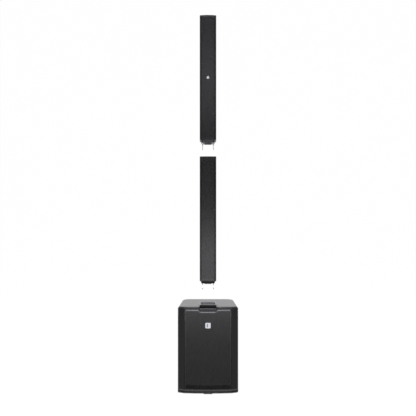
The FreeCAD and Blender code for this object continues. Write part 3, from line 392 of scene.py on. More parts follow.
def rounded_line(points, radii, steps):
    """An open plane line whose inner corners are arcs of the given radii."""
    line = [Vector(points[0])]
    for before, corner, after, radius in zip(points, points[1:], points[2:], radii):
        corner = Vector(corner)
        back = (Vector(before) - corner).normalized()
        on = (Vector(after) - corner).normalized()
        half = back.angle(on) / 2
        reach = radius / tan(half)
        centre = corner + (back + on).normalized() * (radius / sin(half))
        start = corner + back * reach - centre
        end = corner + on * reach - centre
        line += arc_about(centre, start, end, steps)
    line.append(Vector(points[-1]))
    return line


def arc_about(centre, start, end, steps):
    """Points from centre + start to centre + end, the short way round."""
    turn = -start.angle_signed(end)
    angles = [turn * step / steps for step in range(steps + 1)]
    return [centre + Vector((start.x * cos(a) - start.y * sin(a), start.x * sin(a) + start.y * cos(a)))
            for a in angles]


def rounded_rectangle(x_low, x_high, z_low, z_high, radius):
    middle = (x_low + x_high) / 2
    corners = [(x_high, z_low), (x_high, z_high), (x_low, z_high), (x_low, z_low)]
    line = rounded_line([(middle, z_low), *corners, (middle, z_low)], [radius] * 4, 5)
    return [tuple(p) for p in line[:-1]]


def bow(front, radius, spots):
    """Points across a bow whose middle stands at front."""
    return [Vector((x, front + radius - sqrt(radius ** 2 - x * x))) for x in spots]


CREASE_SMOOTHING = 3.0


class Track:
    """A plan line across a bowed front, read by its length from the middle."""

    def __init__(self, points, step):
        dense = self.resample([Vector(p) for p in points], step)
        span = round(CREASE_SMOOTHING / step / 2)
        smooth = []
        for i in range(len(dense)):
            reach = min(span, i, len(dense) - 1 - i)
            near = dense[i - reach:i + reach + 1]
            smooth.append(sum(near, Vector((0, 0))) / len(near))
        self.points = self.resample(smooth, step)
        self.lengths = [0.0]
        for first, second in zip(self.points, self.points[1:]):
            self.lengths.append(self.lengths[-1] + (second - first).length)
        self.half = self.lengths[-1] / 2

    @staticmethod
    def resample(points, step):
        dense = []
        for first, second in zip(points, points[1:]):
            pieces = max(1, round((second - first).length / step))
            dense += [first.lerp(second, n / pieces) for n in range(pieces)]
        return dense + [points[-1]]

    def length_at(self, x):
        """The length from the middle at which the line reaches x."""
        n = min(range(len(self.points)), key=lambda i: abs(self.points[i].x - x))
        return self.lengths[n] - self.half

    def at(self, u):
        """Position and outward normal at length u from the middle."""
        length = min(max(u + self.half, 0), self.lengths[-1])
        i = min(max(bisect(self.lengths, length) - 1, 0), len(self.points) - 2)
        first, second = self.points[i], self.points[i + 1]
        share = (length - self.lengths[i]) / (self.lengths[i + 1] - self.lengths[i])
        before = self.points[max(i - 1, 0)]
        after = self.points[min(i + 2, len(self.points) - 1)]
        along = (second - before).normalized().lerp((after - first).normalized(), share).normalized()
        return first.lerp(second, share), Vector((along.y, -along.x))


def perforated_sheet(name, surface, width, low, high, pitch, hole, thickness, treat):
    """A sheet with staggered six-sided holes.

    surface(u, z, depth) gives a point; treat(u, z) says "hole", "solid" or "none" for a cell.
    """
    columns = round(width / pitch)
    rows = round((high - low) / (pitch * sqrt(3) / 2))
    half_step = width / columns / 2
    row_height = (high - low) / rows
    radius = hole / sqrt(3)
    hexagon = [(radius * cos(radians(a)), radius * sin(radians(a))) for a in range(210, 570, 60)]
    vertices, faces, corners, outline = [], [], {}, set()

    def vertex(u, z, depth):
        vertices.append(surface(u, z, depth))
        return len(vertices) - 1

    def corner(key):
        if key not in corners:
            spot = (key[0] * half_step - width / 2, low + key[1] * row_height)
            corners[key] = (vertex(*spot, 0), vertex(*spot, thickness))
        return corners[key]

    def add_cell(keys, holed):
        ring = [corner(key) for key in keys]
        outline.update(zip(keys, keys[1:] + keys[:1]))
        if not holed:
            faces.append([front for front, _ in ring])
            faces.append([back for _, back in reversed(ring)])
            return
        u = keys[1][0] * half_step - width / 2
        z = low + (keys[0][1] + 0.5) * row_height
        rim = [(vertex(u + a, z + b, 0), vertex(u + a, z + b, thickness)) for a, b in hexagon]
        for n in range(6):
            m = (n + 1) % 6
            faces.append([ring[n][0], ring[m][0], rim[m][0], rim[n][0]])
            faces.append([ring[m][1], ring[n][1], rim[n][1], rim[m][1]])
            faces.append([rim[n][0], rim[m][0], rim[m][1], rim[n][1]])

    for row in range(rows):
        offset = row % 2
        for k in range(offset, 2 * columns - 1, 2):
            keys = [(k, row), (k + 1, row), (k + 2, row), (k + 2, row + 1), (k + 1, row + 1), (k, row + 1)]
            kind = treat((k + 1) * half_step - width / 2, low + (row + 0.5) * row_height)
            if kind != "none":
                add_cell(keys, kind == "hole")
        for k in (0, 2 * columns - 1) if offset else ():
            add_cell([(k, row), (k + 1, row), (k + 1, row + 1), (k, row + 1)], False)
    for start, end in outline:
        if (end, start) not in outline:
            first, second = corners[start], corners[end]
            faces.append([second[0], first[0], first[1], second[1]])
    mesh = bpy.data.meshes.new(name)
    mesh.from_pydata([Vector(v) * MM for v in vertices], [], faces)
    return mesh


def swept_strip(surface, path, section_at):
    """A closed strip along a path on a surface; section_at(spot) lists (out, depth) points."""
    loops = []
    for n, spot in enumerate(path):
        along = (path[min(n + 1, len(path) - 1)] - path[max(n - 1, 0)]).normalized()
        loops.append([surface(spot.x - along.y * out, spot.y + along.x * out, depth)
                      for out, depth in section_at(spot)])
    return Shapes().loft(loops)


def folded_panel(surface, u_steps, z_steps, thickness):
    """A thin panel on a surface; each step is (place, depth), deeper at its folded edges."""
    def point(u_step, z_step, extra):
        return surface(u_step[0], z_step[0], max(u_step[1], z_step[1]) + extra)

    loops = []
    for z_step in z_steps:
        front = [point(u_step, z_step, 0) for u_step in u_steps]
        back = [point(u_step, z_step, thickness) for u_step in reversed(u_steps)]
        loops.append(front + back)
    return Shapes().loft(loops)


def fold(place, radius, lip, direction):
    """Steps that turn a panel's edge in at place; direction says on which side the panel lies."""
    angles = [radians(90 * n / 5) for n in range(6)]
    turn = [(place + direction * radius * (1 - sin(a)), radius * (1 - cos(a))) for a in angles]
    return turn + [(place, lip)]


# ------ subwoofer front

GRILLE_LOW, GRILLE_HIGH = mm_box("sub_grille")
CREASE = Vector((136, -177.38))
FACET_END = Vector((161, -164.5))
BOW_RADIUS = 1143.0
SIDE_RADIUS = 20.0
PANEL_EDGE = 135.2
WING_GAP = 1.4
TOP_ROLL = 6.0
SIDE_ROLL = 2.6
BOTTOM_ROLL = 28.0
BOTTOM_INSET = 10.0
BOTTOM_CURVE = 2.2
NOTCH_TOP, NOTCH_BOTTOM, NOTCH_DEPTH = 54.7, 44.7, 11.5
HEM_TOP = GRILLE_LOW.z + 17.0
SHEET_LOW = HEM_TOP + 0.6
RIM_TOP = GRILLE_HIGH.z - TOP_ROLL
NOTCH_LOW = RIM_TOP - NOTCH_DEPTH
SHEET_THICKNESS = 1.2
SUB_PITCH, SUB_HOLE = 5.8, 4.2
COLUMN_PITCH, COLUMN_HOLE = 3.85, 2.75


def front_line():
    """Plan of the bowed front: side, round corner, facet, bow, and the same again."""
    side_end = Vector((GRILLE_HIGH.x, -149.0))
    middle = (FACET_END + side_end) / 2
    chord = side_end - FACET_END
    inward = Vector((-chord.y, chord.x)).normalized()
    centre = middle + inward * sqrt(SIDE_RADIUS ** 2 - chord.length_squared / 4)
    corner = arc_about(centre, FACET_END - centre, side_end - centre, 10)
    side = [CREASE, *corner, GRILLE_HIGH.xy]
    left = [Vector((-p.x, p.y)) for p in reversed(side)]
    return left + bow(GRILLE_LOW.y, BOW_RADIUS, range(-135, 136, 5)) + side


front_track = Track(front_line(), 1.0)
PANEL_REACH = front_track.length_at(PANEL_EDGE)
RIM_REACH = PANEL_REACH - SIDE_ROLL


def front_surface(u, z, depth):
    """A point on the front, rolled in towards the bottom, depth behind the outer face."""
    spot, normal = front_track.at(u)
    reach = max(0.0, GRILLE_LOW.z + BOTTOM_ROLL - z) / BOTTOM_ROLL
    spot = spot - normal * (depth + BOTTOM_INSET * reach ** BOTTOM_CURVE)
    return spot.x, spot.y, z


def inside_notch(u, z, clearance):
    slope = (NOTCH_TOP - NOTCH_BOTTOM) / NOTCH_DEPTH
    notch_edge = NOTCH_BOTTOM + slope * (z - NOTCH_LOW)
    return z > NOTCH_LOW - clearance and abs(u) < notch_edge + clearance * hypot(1, slope)


def make_sub_sheet():
    """The perforated panel between the creases, plain along its edges."""
    def treat(u, z):
        if inside_notch(u, z, 1.2):
            return "none"
        near_edge = abs(u) > RIM_REACH - 2 or z > RIM_TOP - 4 or z < SHEET_LOW + 4
        return "solid" if near_edge or inside_notch(u, z, 6) else "hole"

    def sheet_surface(u, z, depth):
        return front_surface(u, z, depth + 0.4)

    mesh = perforated_sheet("sub_grille_sheet", sheet_surface, 2 * RIM_REACH, SHEET_LOW, RIM_TOP - 0.5,
                            SUB_PITCH, SUB_HOLE, SHEET_THICKNESS, treat)
    new_piece("sub_grille_sheet", mesh, "grille_steel", ["sub_grille"], 28)


def make_sub_rim():
    """The panel's rolled rim, up one side, round the notch and down the other side."""
    side, blend = RIM_REACH, 12.0
    corners = [(-side, SHEET_LOW), (-side, RIM_TOP), (-NOTCH_TOP, RIM_TOP), (-NOTCH_BOTTOM, NOTCH_LOW),
               (NOTCH_BOTTOM, NOTCH_LOW), (NOTCH_TOP, RIM_TOP), (side, RIM_TOP), (side, SHEET_LOW)]
    path = Track.resample(rounded_line(corners, (6, 5, 9, 9, 5, 6), 8), 4.0)
    angles = [radians(90 * step / 8) for step in range(9)]

    def section(spot):
        """The roll is wide along the top and round the notch, and narrow along the sides."""
        near_side = abs(spot.x) > side - blend
        share = min(1.0, max(0.0, (spot.y - (RIM_TOP - blend)) / blend)) if near_side else 1.0
        radius = SIDE_ROLL + (TOP_ROLL - SIDE_ROLL) * share
        small = radius - 1.0
        lip = radius + (6.5 if abs(spot.x) > 60 else 0.3)
        turn = [(radius * sin(a), radius * (1 - cos(a))) for a in angles]
        inner = [(small * sin(a), radius - small * cos(a)) for a in reversed(angles)]
        border = 1.2 if abs(spot.x) > side - 1 else 3.0
        return [(-border - 0.5, 1.4), (-border - 0.5, 0.35), (-border, 0), *turn, (radius, lip),
                (small, lip), *inner]

    rim = swept_strip(front_surface, path, section)
    # the rim wears the grille steel in a lighter colour: a painted highlight on the rolled edge
    rim.piece("sub_grille_rim", "grille_rim_painted_highlight", "sub_grille", smooth_angle=40)


def make_sub_facets():
    """The plain facet at each side, folded in at the crease and at the top."""
    facet = front_track.length_at(FACET_END.x)
    start, last = PANEL_REACH + WING_GAP, front_track.half
    spots = [start + 1.2 + n * (facet - PANEL_REACH) / 5 for n in range(1, 6)]
    spots += [facet + n * (last - facet) / 16 for n in range(1, 17)]
    levels = [(SHEET_LOW + n * BOTTOM_ROLL / 20, 0) for n in range(10)]
    levels += [(z, 0) for z in range(60, 480, 60)] + fold(GRILLE_HIGH.z, 1.5, 9.0, -1)
    across = fold(start, 1.2, 9.0, 1)[::-1] + [(u, 0) for u in spots]
    right = folded_panel(front_surface, across, levels, 1.5)
    left = Shapes()
    left.vertices = [(-x, y, z) for x, y, z in right.vertices]
    left.faces = [face[::-1] for face in right.faces]
    for name, wing in (("right", right), ("left", left)):
        wing.piece("sub_grille_%s_facet" % name, "grille_steel", "sub_grille", smooth_angle=40)


def make_hem():
    """The moulded strip that closes the rolled foot of the grille, across its whole width."""
    across = [(front_track.half * n / 60, 0) for n in range(-60, 61)]
    low, rise = GRILLE_LOW.z, HEM_TOP - GRILLE_LOW.z - 2
    up = [(low, 8.0), (low, 1.2), (low + 0.4, 0.4), (low + 1.2, 0)]
    up += [(low + 1.2 + rise * n / 8, 0) for n in range(1, 8)]
    up += [(HEM_TOP - 0.5, 0), (HEM_TOP - 0.1, 0.2), (HEM_TOP, 0.7), (HEM_TOP, 3)]
    hem = folded_panel(front_surface, across, up, 1.8)
    # the hem's lighter trim colour is painted sheen
    hem.piece("sub_grille_hem", "trim_plastic", "sub_grille", smooth_angle=50)


def make_foam():
    """A slab of open-cell foam behind the perforated panel, thinner in front of the handle."""
    low, high = mm_box("sub_grille_foam")
    handle_half, handle_low = 58.0, 436.0
    pocket_low = high.z - 11
    gap, thickness, thin = 2.9, 2.6, 1.6

    def surface(u, z, depth):
        if not depth:
            return front_surface(u, z, gap + 0.25 * sin(u * 0.21) * sin(z * 0.17))
        return front_surface(u, z, gap + (thin if abs(u) < handle_half and z > handle_low else depth))

    def treat(u, z):
        return "none" if abs(u) < handle_half and z > pocket_low else "solid"

    mesh = perforated_sheet("sub_foam_slab", surface, 2 * (PANEL_REACH - 2), low.z, high.z - 1, 5, 0,
                            thickness, treat)
    foam = new_piece("sub_foam_slab", mesh, "acoustic_foam", ["sub_grille_foam"], 60)


def make_badges():
    """A plain square badge with a raised frame round a dark bar, and a small domed round one."""
    low, high = mm_box("sub_badge")
    centre = (low + high) / 2
    half = 0.42 * (high.x - low.x)
    line = rounded_rectangle(-half, half, -half, half, 2.5)
    steps = [(1.0, high.y), (1.0, low.y + 0.35), (0.975, low.y + 0.08), (0.94, low.y), (0.88, low.y),
             (0.865, low.y + 0.35)]
    plate = Shapes().loft([[(centre.x + x * s, y, centre.z + z * s) for x, z in line] for s, y in steps])
    plate.piece("sub_badge_plate", "badge_metal", "sub_badge")
    bar = rounded_rectangle(centre.x - 5.5, centre.x - 1.5, centre.z - 10, centre.z + 10, 1.2)
    Shapes().prism(bar, low.y + 0.05, low.y + 0.9).piece(
        "sub_badge_bar", "black_moulding", edge=0.2, body="subwoofer")
    low, high = mm_box("upper_badge")
    radius = 0.88 * (high.x - low.x) / 2
    profile = [(0, high.y), (radius, high.y), (radius, low.y + 0.5), (radius - 0.5, low.y + 0.1),
               (radius - 1.4, low.y), (radius - 1.9, low.y + 0.3), (radius * 0.4, low.y + 0.12),
               (0, low.y + 0.1)]
    # the round badge wears a darker copy of the badge metal: painted shade
    turned(profile, (low + high) / 2, 48, "upper_badge_disc", "badge_metal_painted_shade", "upper_badge")


# ------ columns

def make_column_grille(prefix):
    """A perforated sheet that bows forward, and the foam lining behind it."""
    node = prefix + "grille"
    low, high = mm_box(node)
    front = bow(low.y, 180.0, [high.x * n / 20 for n in range(-20, 21)])
    track = Track([Vector((-high.x, high.y)), *front, Vector((high.x, high.y))], 0.5)
    plain_from = track.length_at(high.x - 1.5) - 2

    def surface(u, z, depth):
        spot, normal = track.at(u)
        spot = spot - normal * depth
        return spot.x, spot.y, z

    def treat(u, z):
        return "solid" if abs(u) > plain_from or z < low.z + 5 or z > high.z - 5 else "hole"

    mesh = perforated_sheet(node + "_sheet", surface, 2 * track.half, low.z, high.z,
                            COLUMN_PITCH, COLUMN_HOLE, SHEET_THICKNESS, treat)
    new_piece(node + "_sheet", mesh, "grille_steel", [node], 28)

    def lining_surface(u, z, depth):
        wave = 0 if depth else 0.2 * sin(u * 0.5) * sin(z * 0.23)
        return surface(u, z, 1.9 + depth + wave)

    mesh = perforated_sheet(node + "_lining", lining_surface, 2 * high.x - 10, low.z + 4, high.z - 4,
                            4, 0, 2.5, lambda u, z: "solid")
    lining = new_piece(node + "_lining", mesh, "acoustic_foam", [node], 60)


def make_guide_pins(prefix):
    """Turned steel pins with a bullet nose and a groove near the foot."""
    low, high = mm_box(prefix + "guide_pins")
    radius = (high.y - low.y) / 2
    profile = [(0, low.z), (radius * 0.45, low.z + 0.2), (radius * 0.8, low.z + 1.1), (radius, low.z + 2.8),
               (radius, high.z - 17), (radius * 0.86, high.z - 16.4), (radius * 0.86, high.z - 15.2),
               (radius, high.z - 14.6), (radius, high.z), (0, high.z)]
    for side, x in (("left", low.x + radius), ("right", high.x - radius)):
        Shapes().turn(profile, (x, (low.y + high.y) / 2, 0), "Z", 32).piece(
            prefix + "pin_" + side, "guide_pin_steel", prefix + "guide_pins")


def make_small_drivers(prefix):
    """Each small cone with its dust cap, roll surround and coil former."""
    profile = [(0, 6.7), (4, 7), (8, 8.4), (9.5, 9.3), (24.5, 3), (25.4, 2.1), (26.6, 0.8), (28, 0.3),
               (29.4, 0.7), (30.3, 1), (31.5, 0.1), (31.5, 1.2), (30.2, 2), (29, 1.6), (28, 1.3),
               (27, 1.7), (25.8, 3), (24.8, 4), (10, 10.6), (6.5, 10.6), (6.5, 24.2), (5.6, 24.2),
               (5.6, 10.9), (0, 8.2)]
    cones = sorted(solids_of(prefix + "cones"), key=lambda box: box[0].z)
    for number, (low, high) in enumerate(cones, start=1):
        turned([(radius, low.y + y) for radius, y in profile], (low + high) / 2, 64,
               "%scone_%d" % (prefix, number), "cone_paper", prefix + "cones")


# ------ bass driver

def make_woofer():
    """Cone with pressed ribs, half-roll surround, corrugated spider, dust cap and wound coil."""
    low, high = mm_box("woofer_cone")
    centre = (0, 0, (low.z + high.z) / 2)
    inner, outer = mm_box("woofer_voice_coil")[1].x + 0.1, high.x
    front, back = [], []
    for n in range(55):
        share = n / 54
        radius = inner + (outer - inner) * share
        rib = 0.45 * sin(2 * pi * n / 6) if 0.25 < share < 0.9 else 0
        y = high.y - 2 + (low.y - high.y + 2) * share ** 0.92 + rib
        front.append((radius, y))
        back.append((radius, y + 1.7))
    turned(front + back[::-1], centre, 96, "woofer_cone_paper", "cone_paper", "woofer_cone")

    low, high = mm_box("woofer_dust_cap")
    rim = high.x
    arc = [(rim * n / 12, low.y + (high.y - 1 - low.y) * (n / 12) ** 2.1) for n in range(12)]
    dome = arc + [(rim - 0.8, high.y - 1.6), (rim, high.y - 0.8), (rim - 0.6, high.y)]
    dome += [(r * 0.975, y + 1.1) for r, y in reversed(arc)]
    turned(dome, centre, 72, "woofer_dust_cap_dome", "cone_paper", "woofer_dust_cap")

    low, high = mm_box("woofer_surround")
    lip_front, inside, outside, rubber = -148.2, 118.4, 139.6, 1.2
    middle, reach = (inside + outside) / 2 + 0.4, 6.4
    height = lip_front - low.y
    angles = [pi * n / 16 for n in range(17)]
    roll = [(middle - reach * cos(a), lip_front - height * sin(a)) for a in angles]
    under = [(middle - (reach - rubber) * cos(a), lip_front + rubber - height * sin(a))
             for a in reversed(angles)]
    profile = [(inside, lip_front), (inside + 1.6, lip_front - 0.25), *roll, (outside - 3, lip_front - 0.3),
               (outside - 1, lip_front), (outside, lip_front + 0.2), (outside, lip_front + rubber), *under,
               (inside, lip_front + rubber)]
    turned(profile, centre, 120, "woofer_surround_roll", "surround_rubber", "woofer_surround")

    low, high = mm_box("woofer_spider")
    hub = 26.8
    front, back = [], []
    for n in range(97):
        radius = hub + (high.x - hub) * n / 96
        flat = min(1.0, (radius - hub) / 6, (high.x - radius) / 7)
        y = (low.y + high.y) / 2 + 0.7 * flat * sin((radius - 30) * 2 * pi / 5.2)
        front.append((radius, y - 0.3))
        back.append((radius, y + 0.3))
    turned(front + back[::-1], centre, 72, "woofer_spider_cloth", "spider_cloth", "woofer_spider")

    low, high = mm_box("woofer_voice_coil")
    tube = [(high.x - 1.1, low.y), (high.x, low.y), (high.x, high.y), (high.x - 1.1, high.y)]
    turned(tube, centre, 64, "woofer_coil_tube", "spider_cloth", "woofer_voice_coil")
    start, length, steps = high.y - 17, 16, 44
    winding = [(high.x + (0.35 if n % 2 else 0.12), start + length * n / steps) for n in range(steps + 1)]
    winding = [(high.x - 0.2, start), *winding, (high.x - 0.2, start + length)]
    turned(winding, centre, 64, "woofer_coil_winding", "coil_former", "woofer_voice_coil")


def make_ports():
    """Two tubes with flared mouths."""
    low, high = mm_box("port_tubes")
    y, outer = low.y, 40
    profile = [(33, high.y), (33, y + 9), (33.6, y + 5), (35, y + 2.6), (37, y + 0.9), (38.8, y + 0.1),
               (39.6, y + 0.4), (outer, y + 1.2), (outer, y + 3), (35.8, y + 3), (35.8, high.y)]
    for side, x in (("left", low.x + outer), ("right", high.x - outer)):
        turned(profile, (x, 0, (low.z + high.z) / 2), 64, "port_tube_" + side, "black_moulding", "port_tubes")


def make_screws(node, face_is_high, head_depth):
    """Pan heads with a six-lobed recess; the head is seen from the high or the low end along Y."""
    shapes = Shapes()
    for low, high in solids_of(node):
        centre, head = (low + high) / 2, (high.x - low.x) / 2
        face, inward = (high.y, -1) if face_is_high else (low.y, 1)
        shank, length = head * 0.5, high.y - low.y
        profile = [(0, 1.5), (head * 0.4, 1.4), (head * 0.44, 0.3), (head * 0.56, 0.06),
                   (head * 0.74, 0.12), (head * 0.92, 0.55), (head, 1.1), (head, head_depth),
                   (shank, head_depth), (shank, length), (0, length)]

        def lobes(angle, radius, _):
            return radius * (1 + 0.16 * cos(6 * angle)) if radius < shank else radius

        shapes.turn([(radius, face + inward * depth) for radius, depth in profile],
                    (centre.x, 0, centre.z), steps=36, ripple=lobes)
    shapes.piece(node + "_heads", slot_of[node], node)


# ------ rear panel

KNOBS = [node for node in frame["nodes"] if node.endswith("_knob")]
PANEL_FACE = mm_box("rear_panel")[1].y
# x from and to, z from and to, round the knobs, the plug sockets and the pin sockets
PRINTED_GROUPS = [(-104, 104, 376, 419), (-92, 97, 300, 350), (-90, 97, 245, 292)]


def make_knobs():
    """Fluted knobs with a skirt, and a printed pointer on each."""
    bore, half_mark = 3.05, 0.45
    profile = [(0, 12.4), (bore, 12.4), (bore, 0), (7.5, 0), (7.9, 0.4), (7.95, 2.8), (7.5, 3.9), (6.7, 4.3),
               (6.45, 5), (6.35, 5.6), (6.0, 13.6), (5.9, 14.4), (5.4, 15.1), (4.8, 15.3), (0, 15.2)]
    for node in KNOBS:
        low, high = mm_box(node)
        x, y, z = (low.x + high.x) / 2, low.y, (low.z + high.z) / 2

        def flutes(angle, radius, along):
            return radius * (1 + 0.035 * cos(18 * angle)) if y + 5.3 < along < y + 14 else radius

        cap = Shapes().turn([(radius, y + along) for radius, along in profile], (x, 0, z), steps=108,
                            ripple=flutes)
        cap.piece(node + "_cap", "knob_plastic", node)
        pointer = Shapes().block((x - half_mark, y + 15.0, z + 1), (x + half_mark, y + 15.4, z + 5.2))
        pointer.block((x - half_mark, y + 3.4, z + 6.6), (x + half_mark, y + 4.3, z + 7.7))
        pointer.piece(node + "_pointer", "printed_white", edge=0.1, body=body_of_node[node])


def make_panel_print():
    """Dial ticks round each knob and thin lines round the groups of connectors; no lettering."""
    bottom, top = PANEL_FACE - 0.05, PANEL_FACE + 0.12
    half_tick, line_width = 0.28, 0.5
    ink = Shapes()
    for node in KNOBS:
        low, high = mm_box(node)
        centre = (low + high) / 2
        for tick in range(11):
            angle = radians(240 - 30 * tick)
            end = 12.4 if tick in (0, 5, 10) else 11.4
            cosine, sine = cos(angle), sin(angle)
            outline = [(centre.x + r * cosine - s * sine, centre.z + r * sine + s * cosine)
                       for r, s in ((9.6, -half_tick), (end, -half_tick), (end, half_tick), (9.6, half_tick))]
            ink.prism(outline, bottom, top)
    inset = (line_width, -line_width, line_width, -line_width)
    for group in PRINTED_GROUPS:
        outer = rounded_rectangle(*group, 5)
        inner = rounded_rectangle(*map(sum, zip(group, inset)), 5 - line_width)
        ink.loft([[(x, y, z) for x, z in outline] for outline, y in
                  ((outer, bottom), (outer, top), (inner, top), (inner, bottom))], closed=True)
    ink.piece("rear_panel_print", "printed_white", body="subwoofer")


def make_pin_jack(name, low, high):
    """A gold pin jack with a white ring in its mouth."""
    centre, face = (low + high) / 2, PANEL_FACE
    profile = [(0, 165), (1.6, 165), (1.6, high.y - 0.5), (2.0, high.y), (3.6, high.y), (4, high.y - 0.5),
               (4, face + 1.6), (5.8, face + 1.6), (6.2, face + 1.1), (6.2, face), (4, face), (4, low.y),
               (0, low.y)]
    turned(profile, centre, 40, name + "_barrel", "contact_brass", "line_jacks")
    collar = [(2.1, high.y - 1), (3.5, high.y - 1), (3.5, high.y + 0.1), (2.1, high.y + 0.1)]
    turned(collar, centre, 40, name + "_ring", "printed_white", body="subwoofer")


def make_threaded_jack(name, low, high):
    """A jack in a case behind the panel, with a threaded bush and a hexagon nut in front."""
    centre, face, half = (low + high) / 2, PANEL_FACE, (high.z - low.z) / 2
    bush, bore = (4.6, 3.2) if half > 7 else (3.0, 1.8)
    case = rounded_rectangle(centre.x - half, centre.x + half, centre.z - half, centre.z + half, 1)
    Shapes().prism(case, low.y, face - 3.1).piece(
        name + "_case", "connector_plastic", "line_jacks", edge=0.3)
    threads = [(bush - (0.22 if n % 2 else 0), face - 3 + n * 0.45) for n in range(13)]
    top = threads[-1][1]
    tube = [(bore, face - 3), *threads, (bush - 0.4, top + 0.3), (bore + 0.5, top + 0.3), (bore, top)]
    turned(tube, centre, 48, name + "_bush", "plain_steel", "line_jacks")
    nut = [(bush - 0.6, face), (bush + 2.9, face), (bush + 2.9, face + 2), (bush - 0.6, face + 2)]
    Shapes().turn(nut, (centre.x, 0, centre.z), steps=6).piece(
        name + "_nut", "plain_steel", "line_jacks", smooth_angle=20, edge=0.25)


def make_jacks():
    """The pin jacks stand well out of the panel; the threaded ones hardly do."""
    jacks = sorted(solids_of("line_jacks"), key=lambda box: box[0].x)
    for number, (low, high) in enumerate(jacks, start=1):
        make = make_pin_jack if high.y > PANEL_FACE + 8 else make_threaded_jack
        make("line_jack_%d" % number, low, high)


def make_lamps():
    """Domed lamps over the knobs."""
    lamps = Shapes()
    for low, high in solids_of("status_leds"):
        radius, centre = (high.x - low.x) / 2, (low + high) / 2
        profile = [(0, high.y)] + [(radius * sin(a), high.y - 1.3 * (1 - cos(a)))
                                   for a in [radians(15 * n) for n in range(1, 7)]]
        lamps.turn(profile + [(radius, low.y), (0, low.y)], (centre.x, 0, centre.z), steps=24)
    lamps.piece("status_led_domes", "indicator_lens", "status_leds")


def make_button():
    """A dished push button with a flange that stays behind the panel."""
    low, high = mm_box("pairing_button")
    profile = [(0, high.y - 0.5), (1.6, high.y - 0.45), (2.8, high.y - 0.15), (3.3, high.y),
               (3.7, high.y - 0.1), (4, high.y - 0.5), (4, low.y + 2.7), (5.2, low.y + 2.7), (5.2, low.y),
               (0, low.y)]
    turned(profile, (low + high) / 2, 48, "pairing_button_cap", "button_plastic", "pairing_button")


def make_feet():
    """A rubber foot with a hollow middle at each corner."""
    feet = Shapes()
    for low, high in solids_of("sub_feet"):
        centre, radius = (low + high) / 2, (high.x - low.x) / 2
        profile = [(0, 2.4), (4.6, 2.4), (4.8, 0.7), (5.6, 0.1), (6.4, 0), (radius - 3, 0),
                   (radius - 2.2, 0.3), (radius - 1.8, 1.0), (radius - 1.2, 2.6), (radius, high.z),
                   (0, high.z)]
        feet.turn(profile, (centre.x, centre.y, 0), "Z", 56)
    feet.piece("sub_rubber_feet", "foot_rubber", "sub_feet")


def board_finish(node, spot):
    """The finish of the part at a spot on a circuit board or the transformer."""
    winding_back, winding_z, winding_half = 101.1, 115, 17.1
    board_front, chips_low = 134.9, 240
    if node == "transformer":
        wound = spot.y < winding_back and abs(spot.z - winding_z) < winding_half
        return "coil_former" if wound else "transformer_core"
    if spot.y > board_front:
        return "circuit_board"
    if node == "amp_board" and spot.z > chips_low:
        return "connector_plastic"
    if spot.x < 0:
        return "capacitor_sleeve"
    return "coil_former" if node == "amp_board" else "plain_steel"


def make_boards():
    """Circuit boards and transformer whose parts have finishes of their own."""
    for node in ("amp_board", "power_supply_board", "transformer"):
        piece = softened(node, 0.25)
        names = [slot_of[node]]
        for face in piece.data.polygons:
            name = board_finish(node, face.center / MM)
            if name not in names:
                names.append(name)
                piece.data.materials.append(MATERIALS[name])
            face.material_index = names.index(name)


# ------ assembly

EDGE_ROUNDING = {
    "handle_moulding": 1.2, "sub_cabinet": 0.8, "column_socket": 0.6, "base_trim": 0.8, "front_baffle": 0.6,
    "woofer_basket": 0.8, "woofer_magnet": 1.5, "woofer_pole_plates": 0.8, "socket_contacts": 0.3,
    "rear_panel": 0.5, "heatsink": 0.3, "xlr_jacks": 0.35, "mains_inlet": 0.5, "switch_frame": 0.5,
    "power_rocker": 0.6, "level_pots": 0.4, "upper_horn": 0.8,
}
COLUMN_EDGE_ROUNDING = {
    "housing": 0.6, "foot": 0.5, "top_cap": 0.5, "baffle": 0.4, "drivers": 0.5, "contacts": 0.4,
}
# the reach, the amount and the height above which a moulding's front edge is set back
DRAWN_IN = {"handle_moulding": (38, 5.5, GRILLE_HIGH.z - 0.5), "base_trim": (34, 3.5, 0)}


def dress_frame():
    """Give every CAD node the finish of its slot."""
    for node, thing in frame["nodes"].items():
        for slot in thing.material_slots:
            slot.material = MATERIALS[slot_of[node]]


def build_pieces():
    for node, width in EDGE_ROUNDING.items():
        piece = softened(node, width)
        if node in DRAWN_IN:
            draw_in(piece, GRILLE_LOW.y, *DRAWN_IN[node])
    for column in ("lower_", "upper_"):
        for part, width in COLUMN_EDGE_ROUNDING.items():
            softened(column + part, width)
        make_column_grille(column)
        make_guide_pins(column)
        make_small_drivers(column)
    make_sub_sheet()
    make_sub_rim()
    make_sub_facets()
    make_hem()
    make_foam()
    make_badges()
    make_woofer()
    make_ports()
    make_screws("woofer_screws", False, 2.5)
    make_screws("rear_panel_screws", True, 2.0)
    make_knobs()
    make_panel_print()
    make_jacks()
    make_lamps()
    make_button()
    make_feet()
    make_boards()


# ------ studio

FRONT_GLOW = 0.48
FLOOR_GLOW = 0.98
LIGHT_COLOR = (0.97, 0.97, 1.0)
CAMERA_SPOT = (0, -3.587, 1.0044)


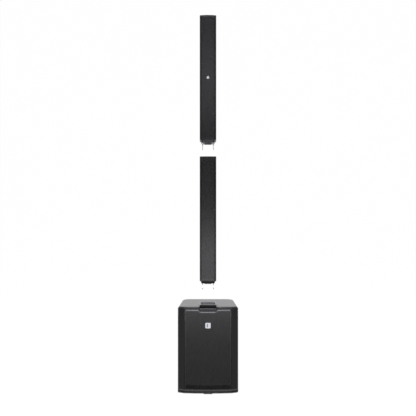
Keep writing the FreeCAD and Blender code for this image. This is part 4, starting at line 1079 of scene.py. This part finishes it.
def make_stage():
    """A white floor that curves up into a backdrop behind the object."""
    radius, start, far = 3.0, 5.0, 30.0
    profile = [(-far, 0), (start, 0)]
    profile += [(start + radius * sin(a), radius * (1 - cos(a)))
                for a in [radians(90 * n / 16) for n in range(1, 17)]]
    profile.append((start + radius, 16))
    mesh = bpy.data.meshes.new("studio_sweep")
    mesh.from_pydata([(x, y, z) for y, z in profile for x in (-far, far)], [],
                     [[n, n + 1, n + 3, n + 2] for n in range(0, 2 * len(profile) - 2, 2)])
    mesh.shade_smooth()
    sweep = bpy.data.objects.new("studio_sweep", mesh)
    bpy.context.scene.collection.objects.link(sweep)
    surface = Surface("studio_white", (0.02, 0.02, 0.02), 1.0, Specular_IOR_Level=0.0)
    surface.shader.inputs["Emission Color"].default_value = (1, 1, 1, 1)
    surface.shader.inputs["Emission Strength"].default_value = FLOOR_GLOW
    mesh.materials.append(surface.material)


def add_light(name, position, target, size, radiance):
    """A rectangular soft light of even radiance."""
    light = bpy.data.lights.new(name, "AREA")
    light.shape = "RECTANGLE"
    light.size, light.size_y = size
    light.energy = radiance * pi * size[0] * size[1]
    light.color = LIGHT_COLOR
    lamp = bpy.data.objects.new(name, light)
    lamp.location = position
    lamp.rotation_euler = (Vector(target) - Vector(position)).to_track_quat("-Z", "Y").to_euler()
    bpy.context.scene.collection.objects.link(lamp)


def make_world():
    """A dim room in front of the object that brightens to white behind it."""
    world = bpy.data.worlds.new("studio")
    world.use_nodes = True
    nodes, links = world.node_tree.nodes, world.node_tree.links
    direction = nodes.new("ShaderNodeTexCoord").outputs["Generated"]
    split = nodes.new("ShaderNodeSeparateXYZ")
    links.new(direction, split.inputs["Vector"])
    ramp = nodes.new("ShaderNodeMapRange")
    for socket, value in (("From Min", -0.35), ("From Max", 0.1), ("To Min", FRONT_GLOW), ("To Max", 1.0)):
        ramp.inputs[socket].default_value = value
    links.new(split.outputs["Y"], ramp.inputs["Value"])
    links.new(ramp.outputs["Result"], nodes["Background"].inputs["Strength"])
    nodes["Background"].inputs["Color"].default_value = (1, 1, 1, 1)
    bpy.context.scene.world = world


def make_studio():
    scene = bpy.context.scene
    scene.view_settings.view_transform = "Standard"
    make_stage()
    make_world()
    add_light("low_softbox", (0, -2.2, 0.53), (0, 0, 0.53), (3.0, 0.8), 8.8)
    add_light("high_softbox", (0, -2.2, 2.35), (0, 0, 2.2), (3.0, 0.7), 3.9)
    add_light("overhead_softbox", (0, -0.65, 3.3), (0, -0.65, 0), (1.8, 2.1), 24.0)
    for side in (-1, 1):
        add_light("rear_softbox", (2.3 * side, 1.7, 0.7), (0, 0.2, 0.35), (0.8, 1.1), 6.0)
        add_light("side_softbox", (2.2 * side, -0.4, 2.1), (0, -0.2, 0.5), (0.8, 0.8), 10.0)
    camera = bpy.data.objects.new("camera", bpy.data.cameras.new("camera"))
    camera.location = CAMERA_SPOT
    camera.rotation_euler = (pi / 2, 0, 0)
    camera.data.lens = 51.2
    camera.data.sensor_width = 36
    camera.data.shift_y = 0.0288
    scene.collection.objects.link(camera)
    scene.camera = camera


dress_frame()
build_pieces()
make_studio()
